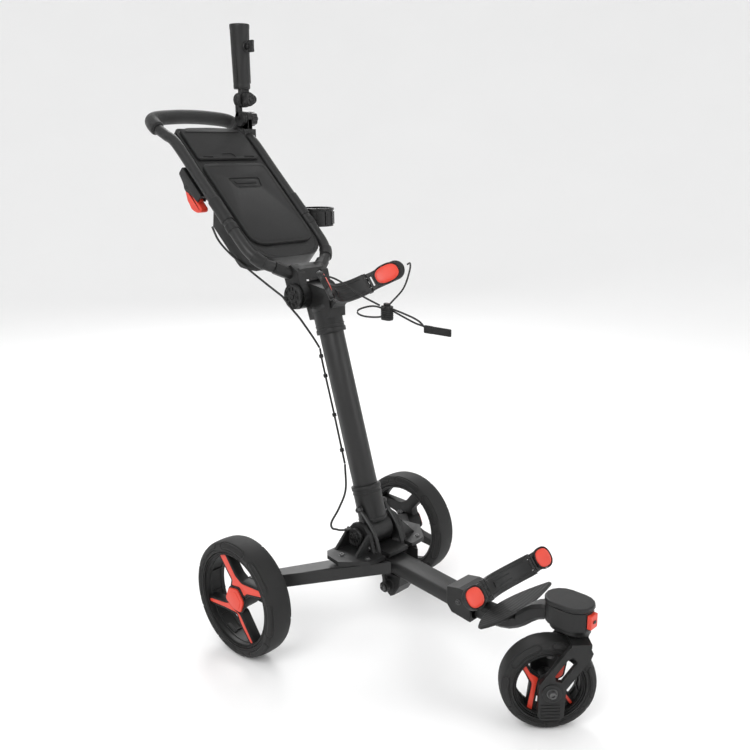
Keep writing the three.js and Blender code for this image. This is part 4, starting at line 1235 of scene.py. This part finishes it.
print("brake cable length in mm", round(cable_length, 1))
cable_end = [(-66, -82, 228), (-65, -91, 228.6), (-58, -102, 230), (-50, -110, 231), (-44, -116, 232)]
end_path = curve_through(cable_end, 20)
ferrule = tube_with_ends(end_path[9:17], 3.6, 0.8, 20, 6)
end_tube = carried(end_path, circle(2.15, 14), (0.1, 0.2, 0.97))
make("brake_cable_end", joined(end_tube, ferrule), "chassis", SHEATH)


def clip(place, direction, radius=2.2, body="upright"):
    """A small saddle: a short sleeve round the cable."""
    d = unit(direction)
    side = unit(np.cross(d, (0.1, 0.9, 0.3)))
    inner, outer = radius + 0.1, radius + 2.2
    ring = turned([(inner, -4), (outer, -3.4), (outer, 3.4), (inner, 4)], 24, closed=True)
    return at(ring, place, side, np.cross(d, side))


post_path = curve_through(CABLE["brake_cable_post"][0], 60)
clips = [clip(post_path[i], post_path[i + 1] - post_path[i]) for i in (4, 14, 34, 52)]
make("cable_clips", joined(*clips), "upright", NYLON)

# %% [markdown]
# ## Post and its joints
# The post has a drop-shaped section, round in front and slimmer behind. Sockets with a raised lip
# hold it at both ends. The two fold joints carry round covers with a ring of pockets, which is how
# such discs are moulded to keep their wall even.

# %% Post, sockets and joint covers
POST_LEAN = math.radians(16.7)
POST_UP = np.array([0, math.sin(POST_LEAN), math.cos(POST_LEAN)])
POST_BASE = np.array([0, -127.0, 222.0])


def drop_section(grow=0.0, steps=72):
    """x = (23.5 + g)(1 - 0.13 cos t) sin t across, (27 + g) cos t fore and aft."""
    t = np.arange(steps) * 2 * np.pi / steps
    back = np.cos(t)
    return np.column_stack([(23.5 + grow) * (1 - 0.13 * back) * np.sin(t), (27 + grow) * back])


def on_post(low, high, grow, edge=1.6, edge_steps=4):
    """A length of the post's section, grown outwards, with rounded rims."""
    ring = rim_steps(edge, edge_steps)
    levels = [(i, low + h) for i, h in ring] + [(i, high - h) for i, h in ring[::-1]]
    rows = [np.column_stack([drop_section(grow - i), np.full(72, level)]) for i, level in levels]
    return at(grid(np.array(rows)), POST_BASE, (1, 0, 0), np.cross(POST_UP, (1, 0, 0)))


make("post_tube", on_post(62.3, 442, 0), "upright", COAT, ["post"])
lips = [on_post(84, 93.5, 5.2, 1.4), on_post(76, 79, 4.7, 0.6), on_post(20, 26, 4.9, 1.2)]
make("post_foot_lips", joined(*lips), "upright", NYLON)
lips = [on_post(411, 421, 5.4, 1.6), on_post(426, 429, 4.7, 0.6), on_post(458, 468, 5.0, 1.4)]
make("post_head_lips", joined(*lips), "upright", NYLON)
refined("post_foot", NYLON, 1.6)
refined("post_head", NYLON, 1.8)


def hexagon(radius):
    return rounded(circle(radius, 6), 0.8, 3)


def joint_cover(radius, low, holes=9):
    """A disc with a raised rim, a ring of round pockets and a hexagon bolt at its middle."""
    t = np.arange(holes) * 2 * np.pi / holes
    outline = circle(radius, 64)
    pocket = radius * 0.15
    reach = radius * 0.62
    pockets = [circle(pocket, 16) + [reach * math.cos(a), reach * math.sin(a)] for a in t]
    boss = [
        (radius * 0.36, low), (radius * 0.36, low + 3.2), (radius * 0.32, low + 3.8),
        (radius * 0.26, low + 3.8), (radius * 0.24, low + 2.8), (0.01, low + 2.8),
    ]
    return joined(
        plate(outline, low - 1.5, low + 0.4, 0.4),
        cut_plate(inset(outline, 1.0), pockets, low, low + 2.4, 0.5),
        edge_plate(inset(outline, 2.6), low + 3.4, low, 2.0),
        turned(boss, 40),
        plate(hexagon(radius * 0.2), low + 2, low + 5.2, 0.7),
    )


def both_sides(shape, y, z):
    """The same shape facing outwards on the right and on the left."""
    return joined(at(shape, (0, y, z), (0, 1, 0), (0, 0, 1)), at(shape, (0, y, z), (0, -1, 0), (0, 0, 1)))


make("handle_joint_covers", both_sides(joint_cover(26, 48.8), 48, 690), "upright", NYLON)
make("fold_joint_covers", both_sides(joint_cover(18, 56.2, 8), -128, 222), "chassis", NYLON)

# %% [markdown]
# ## Bolts
# Every bolt head is one turned profile with a round socket: a domed head, a flat, and a well.

# %% Bolts


def socket_bolt(radius, height):
    """A button head: cone to a flat top, then down into a well two fifths of the radius wide."""
    profile = [
        (0.01, -1), (radius * 1.25, -1), (radius * 1.25, 0), (radius, 0.3), (radius * 0.97, height * 0.55),
        (radius * 0.8, height), (radius * 0.42, height), (radius * 0.42, height * 0.35),
        (0.01, height * 0.35),
    ]
    return turned(profile, 32)


def facing(shape, place, direction):
    """Point a shape's axis along a direction."""
    d = unit(direction)
    u = unit(np.cross((0.21, 0.32, 0.92) if abs(d[2]) < 0.9 else (1, 0, 0), d))
    return at(shape, place, u, np.cross(d, u))


chassis_bolts = []
for sign in (-1, 1):
    chassis_bolts += [
        facing(socket_bolt(5.0, 3.4), (sign * 96, -128, 196.4), (0, 0, 1)),
        facing(socket_bolt(5.0, 3.4), (sign * 74, -178, 196.4), (0, 0, 1)),
        facing(socket_bolt(4.4, 3.0), (sign * 49.6, -158, 204), (sign, 0, 0)),
        facing(socket_bolt(4.4, 3.0), (sign * 49.6, -108, 204), (sign, 0, 0)),
        facing(socket_bolt(5.5, 3.6), (sign * 40.2, -187, 125), (sign, 0, 0)),
        facing(socket_bolt(4.6, 3.0), (sign * 33.2, -372, 158), (sign, 0, 0)),
        facing(socket_bolt(5.2, 3.2), (sign * 190, -25, 171), (0, 0, 1)),
    ]
make("frame_bolts", joined(*chassis_bolts), "chassis", STEEL)
link_bolts = [facing(socket_bolt(5.2, 3.2), (sign * 39, -118, 271), (sign, 0, 0)) for sign in (-1, 1)]
make("link_bolts", joined(*link_bolts), "links", STEEL)

# %% [markdown]
# ## Hub, links and brackets
# The hub is a broad flat casting with thin cheeks and webs. Its arms carry a groove and a button.

# %% Hub
refined("hub_tower", NYLON, 2.2)
arm_top = []
for sign in (-1, 1):
    root, tip = np.array([sign * 74.0, -149, 176.0]), np.array([sign * 196.0, -24, 150.0])
    direction = unit(tip - root)
    outwards = unit(np.cross((0, 0, 1), direction)) * -sign
    for lift in (6.5, -6.5):
        start, stop = root + outwards * 14.2 + [0, 0, lift], tip + outwards * 14.0 + [0, 0, lift * 0.8]
        line = start + np.linspace(0, 1, 12)[:, None] * (stop - start)
        arm_top.append(carried(line, box_outline(1.6, 2.4, 0.8, 4), (0, 0, 1)))
make("rear_arm_beads", joined(*arm_top), "chassis", COAT)

# %% [markdown]
# ## Caster and nose
# The nose carries the caster housing under an oval cap, with a red push tab in front. Under it the
# fork holds the small wheel between two looped arms, each with a bolt and a ribbed foot.

# %% Caster
refined("housing_cap", NYLON, 3.4)
refined("caster_housing", NYLON, 2.2)
refined("caster_fork", NYLON, 2.0)
refined("caster_lock", RED, 1.6)
slot = facing(plate(box_outline(9, 5.5, 1.5), 0, 1.2, 0.5), (0, -635.7, 205), (0, -1, 0))
make("caster_lock_slot", slot, "lock_tab", NYLON)
AXLE_DIRECTION = np.array([math.sqrt(0.5), math.sqrt(0.5), 0])
wheel_centre = np.array(WHEELS["front"][0])


def beside_wheel(shape, side, offset=40.5):
    """Stand a shape on an arm's outer face: a level, b up, c outwards."""
    outwards = AXLE_DIRECTION * side
    u = unit(np.cross((0, 0, 1), outwards))
    return at(shape, wheel_centre + outwards * offset, u, (0, 0, 1))


FOOT_RIBS, RIB_PITCH, LOWEST_RIB = 5, 6.2, -48
disc = turned([(0.01, 0), (17, 0), (17, 1.6), (15.6, 2.6), (10, 2.6), (9, 1.4), (0.01, 1.4)], 48)
rib_points, rib_faces = plate(box_outline(33, 2.2, 1.0, 4), -0.5, 1.5, 0.7)
fork_parts = []
for side in (-1, 1):
    fork_parts.append(beside_wheel(disc, side))
    for k in range(FOOT_RIBS):
        moved = rib_points + [1.5 * side, LOWEST_RIB + RIB_PITCH * k, 0]
        fork_parts.append(beside_wheel((moved, rib_faces), side))
make("fork_trim", joined(*fork_parts), "fork", NYLON)
heads = [beside_wheel(socket_bolt(7.5, 6.0), side, 43.0) for side in (-1, 1)]
make("fork_bolts", joined(*heads), "fork", STEEL)
for node in ("rear_arm_right", "rear_arm_left", "front_beam", "link_right", "link_left"):
    refined(node, COAT, 1.6)
refined("bag_cradle", RUBBER, 1.6)
refined("nose_arm", NYLON, 3.0)
refined("bracket_saddle", NYLON, 3.0)
print("front end made")

# %% [markdown]
# ## The frame's own mouldings
# Castings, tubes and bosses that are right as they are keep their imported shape. Each gets a copy
# with merged faces and a small round on every crease, because a real moulding never has a knife
# edge and that thin highlight is what makes it read as solid.

# %% Mouldings
KEPT = {
    NYLON: (("link_bracket", "handle_yoke", "cup_mount", "cup_holder"), 1.4),
    STEEL: (("axle_right", "axle_left", "front_axle"), 0.8),
    GLOSS: (("fold_pin", "handle_pin"), 0.8),
}
for finish, (nodes, edge) in KEPT.items():
    for node in nodes:
        refined(node, finish, edge)
rest = [node for node, o in frame["nodes"].items() if not o.hide_render]
print("plain nodes left", rest)

# %% [markdown]
# ## Floor and light
# A pale floor and a large soft sky of lamps, as in a studio: one broad key from the front left, a
# weaker one from the right, and a strip from behind that draws thin lines along the tubes.

# %% Floor, light and world


FLAT = 3.5


def floor(reach):
    """Flat out to FLAT metres, then a wide cove: z = 0.1 (r - FLAT)^2, all sunk by half a millimetre."""
    s = np.linspace(-reach, reach, 81)
    x, y = np.meshgrid(s, s, indexing="ij")
    rise = 0.1 * np.maximum(np.hypot(x, y) - FLAT, 0) ** 2 - 0.0005
    points, faces = grid(np.stack([x, y, rise], axis=-1), around=False, caps=False)
    mesh = bpy.data.meshes.new("studio_floor")
    mesh.from_pydata(points.tolist(), [], faces)
    g = Graph("pale studio floor")
    slow = g.noise(1.5, 2.0)
    g.set(Base_Color=g.mix(slow, (0.93, 0.93, 0.93, 1), (0.96, 0.96, 0.96, 1)), Roughness=0.75)
    mesh.materials.append(g.material)
    mesh.shade_smooth()
    piece = bpy.data.objects.new("studio_floor", mesh)
    bpy.context.scene.collection.objects.link(piece)


def lamp(name, place, target, size, power):
    """An area lamp at place that looks at target."""
    data = bpy.data.lights.new(name, "AREA")
    data.shape, data.size, data.energy = "DISK", size, power
    piece = bpy.data.objects.new(name, data)
    bpy.context.scene.collection.objects.link(piece)
    z = unit(np.subtract(place, target))
    x = unit(np.cross((0, 0, 1), z))
    matrix = np.eye(4)
    matrix[:3, 0], matrix[:3, 1], matrix[:3, 2], matrix[:3, 3] = x, np.cross(z, x), z, place
    piece.matrix_world = Matrix(matrix.tolist())


floor(14.0)
centre = (0, 0, 0.55)
lamp("key", (-2.6, -0.9, 2.6), centre, 1.8, 46)
lamp("fill", (0.9, -2.8, 1.7), centre, 2.2, 22)
lamp("edge", (1.6, 2.2, 2.3), centre, 1.6, 40)
lamp("top", (0, 0, 3.6), centre, 2.4, 20)
world = bpy.data.worlds.new("studio")
world.use_nodes = True
world.node_tree.nodes["Background"].inputs[0].default_value = (1.0, 1.0, 1.0, 1.0)
world.node_tree.nodes["Background"].inputs[1].default_value = 0.88
bpy.context.scene.world = world
bpy.context.scene.view_settings.view_transform = "Standard"

# %% [markdown]
# ## The cords
# Each cord's real length, thickness and start are worked out where it is made. This loop only sorts the cords
# into taut pulls and hanging ones, and keeps nothing.

for node, (piece, path, length) in cords.items():
    "taut" if "pull" in node else "hanging"
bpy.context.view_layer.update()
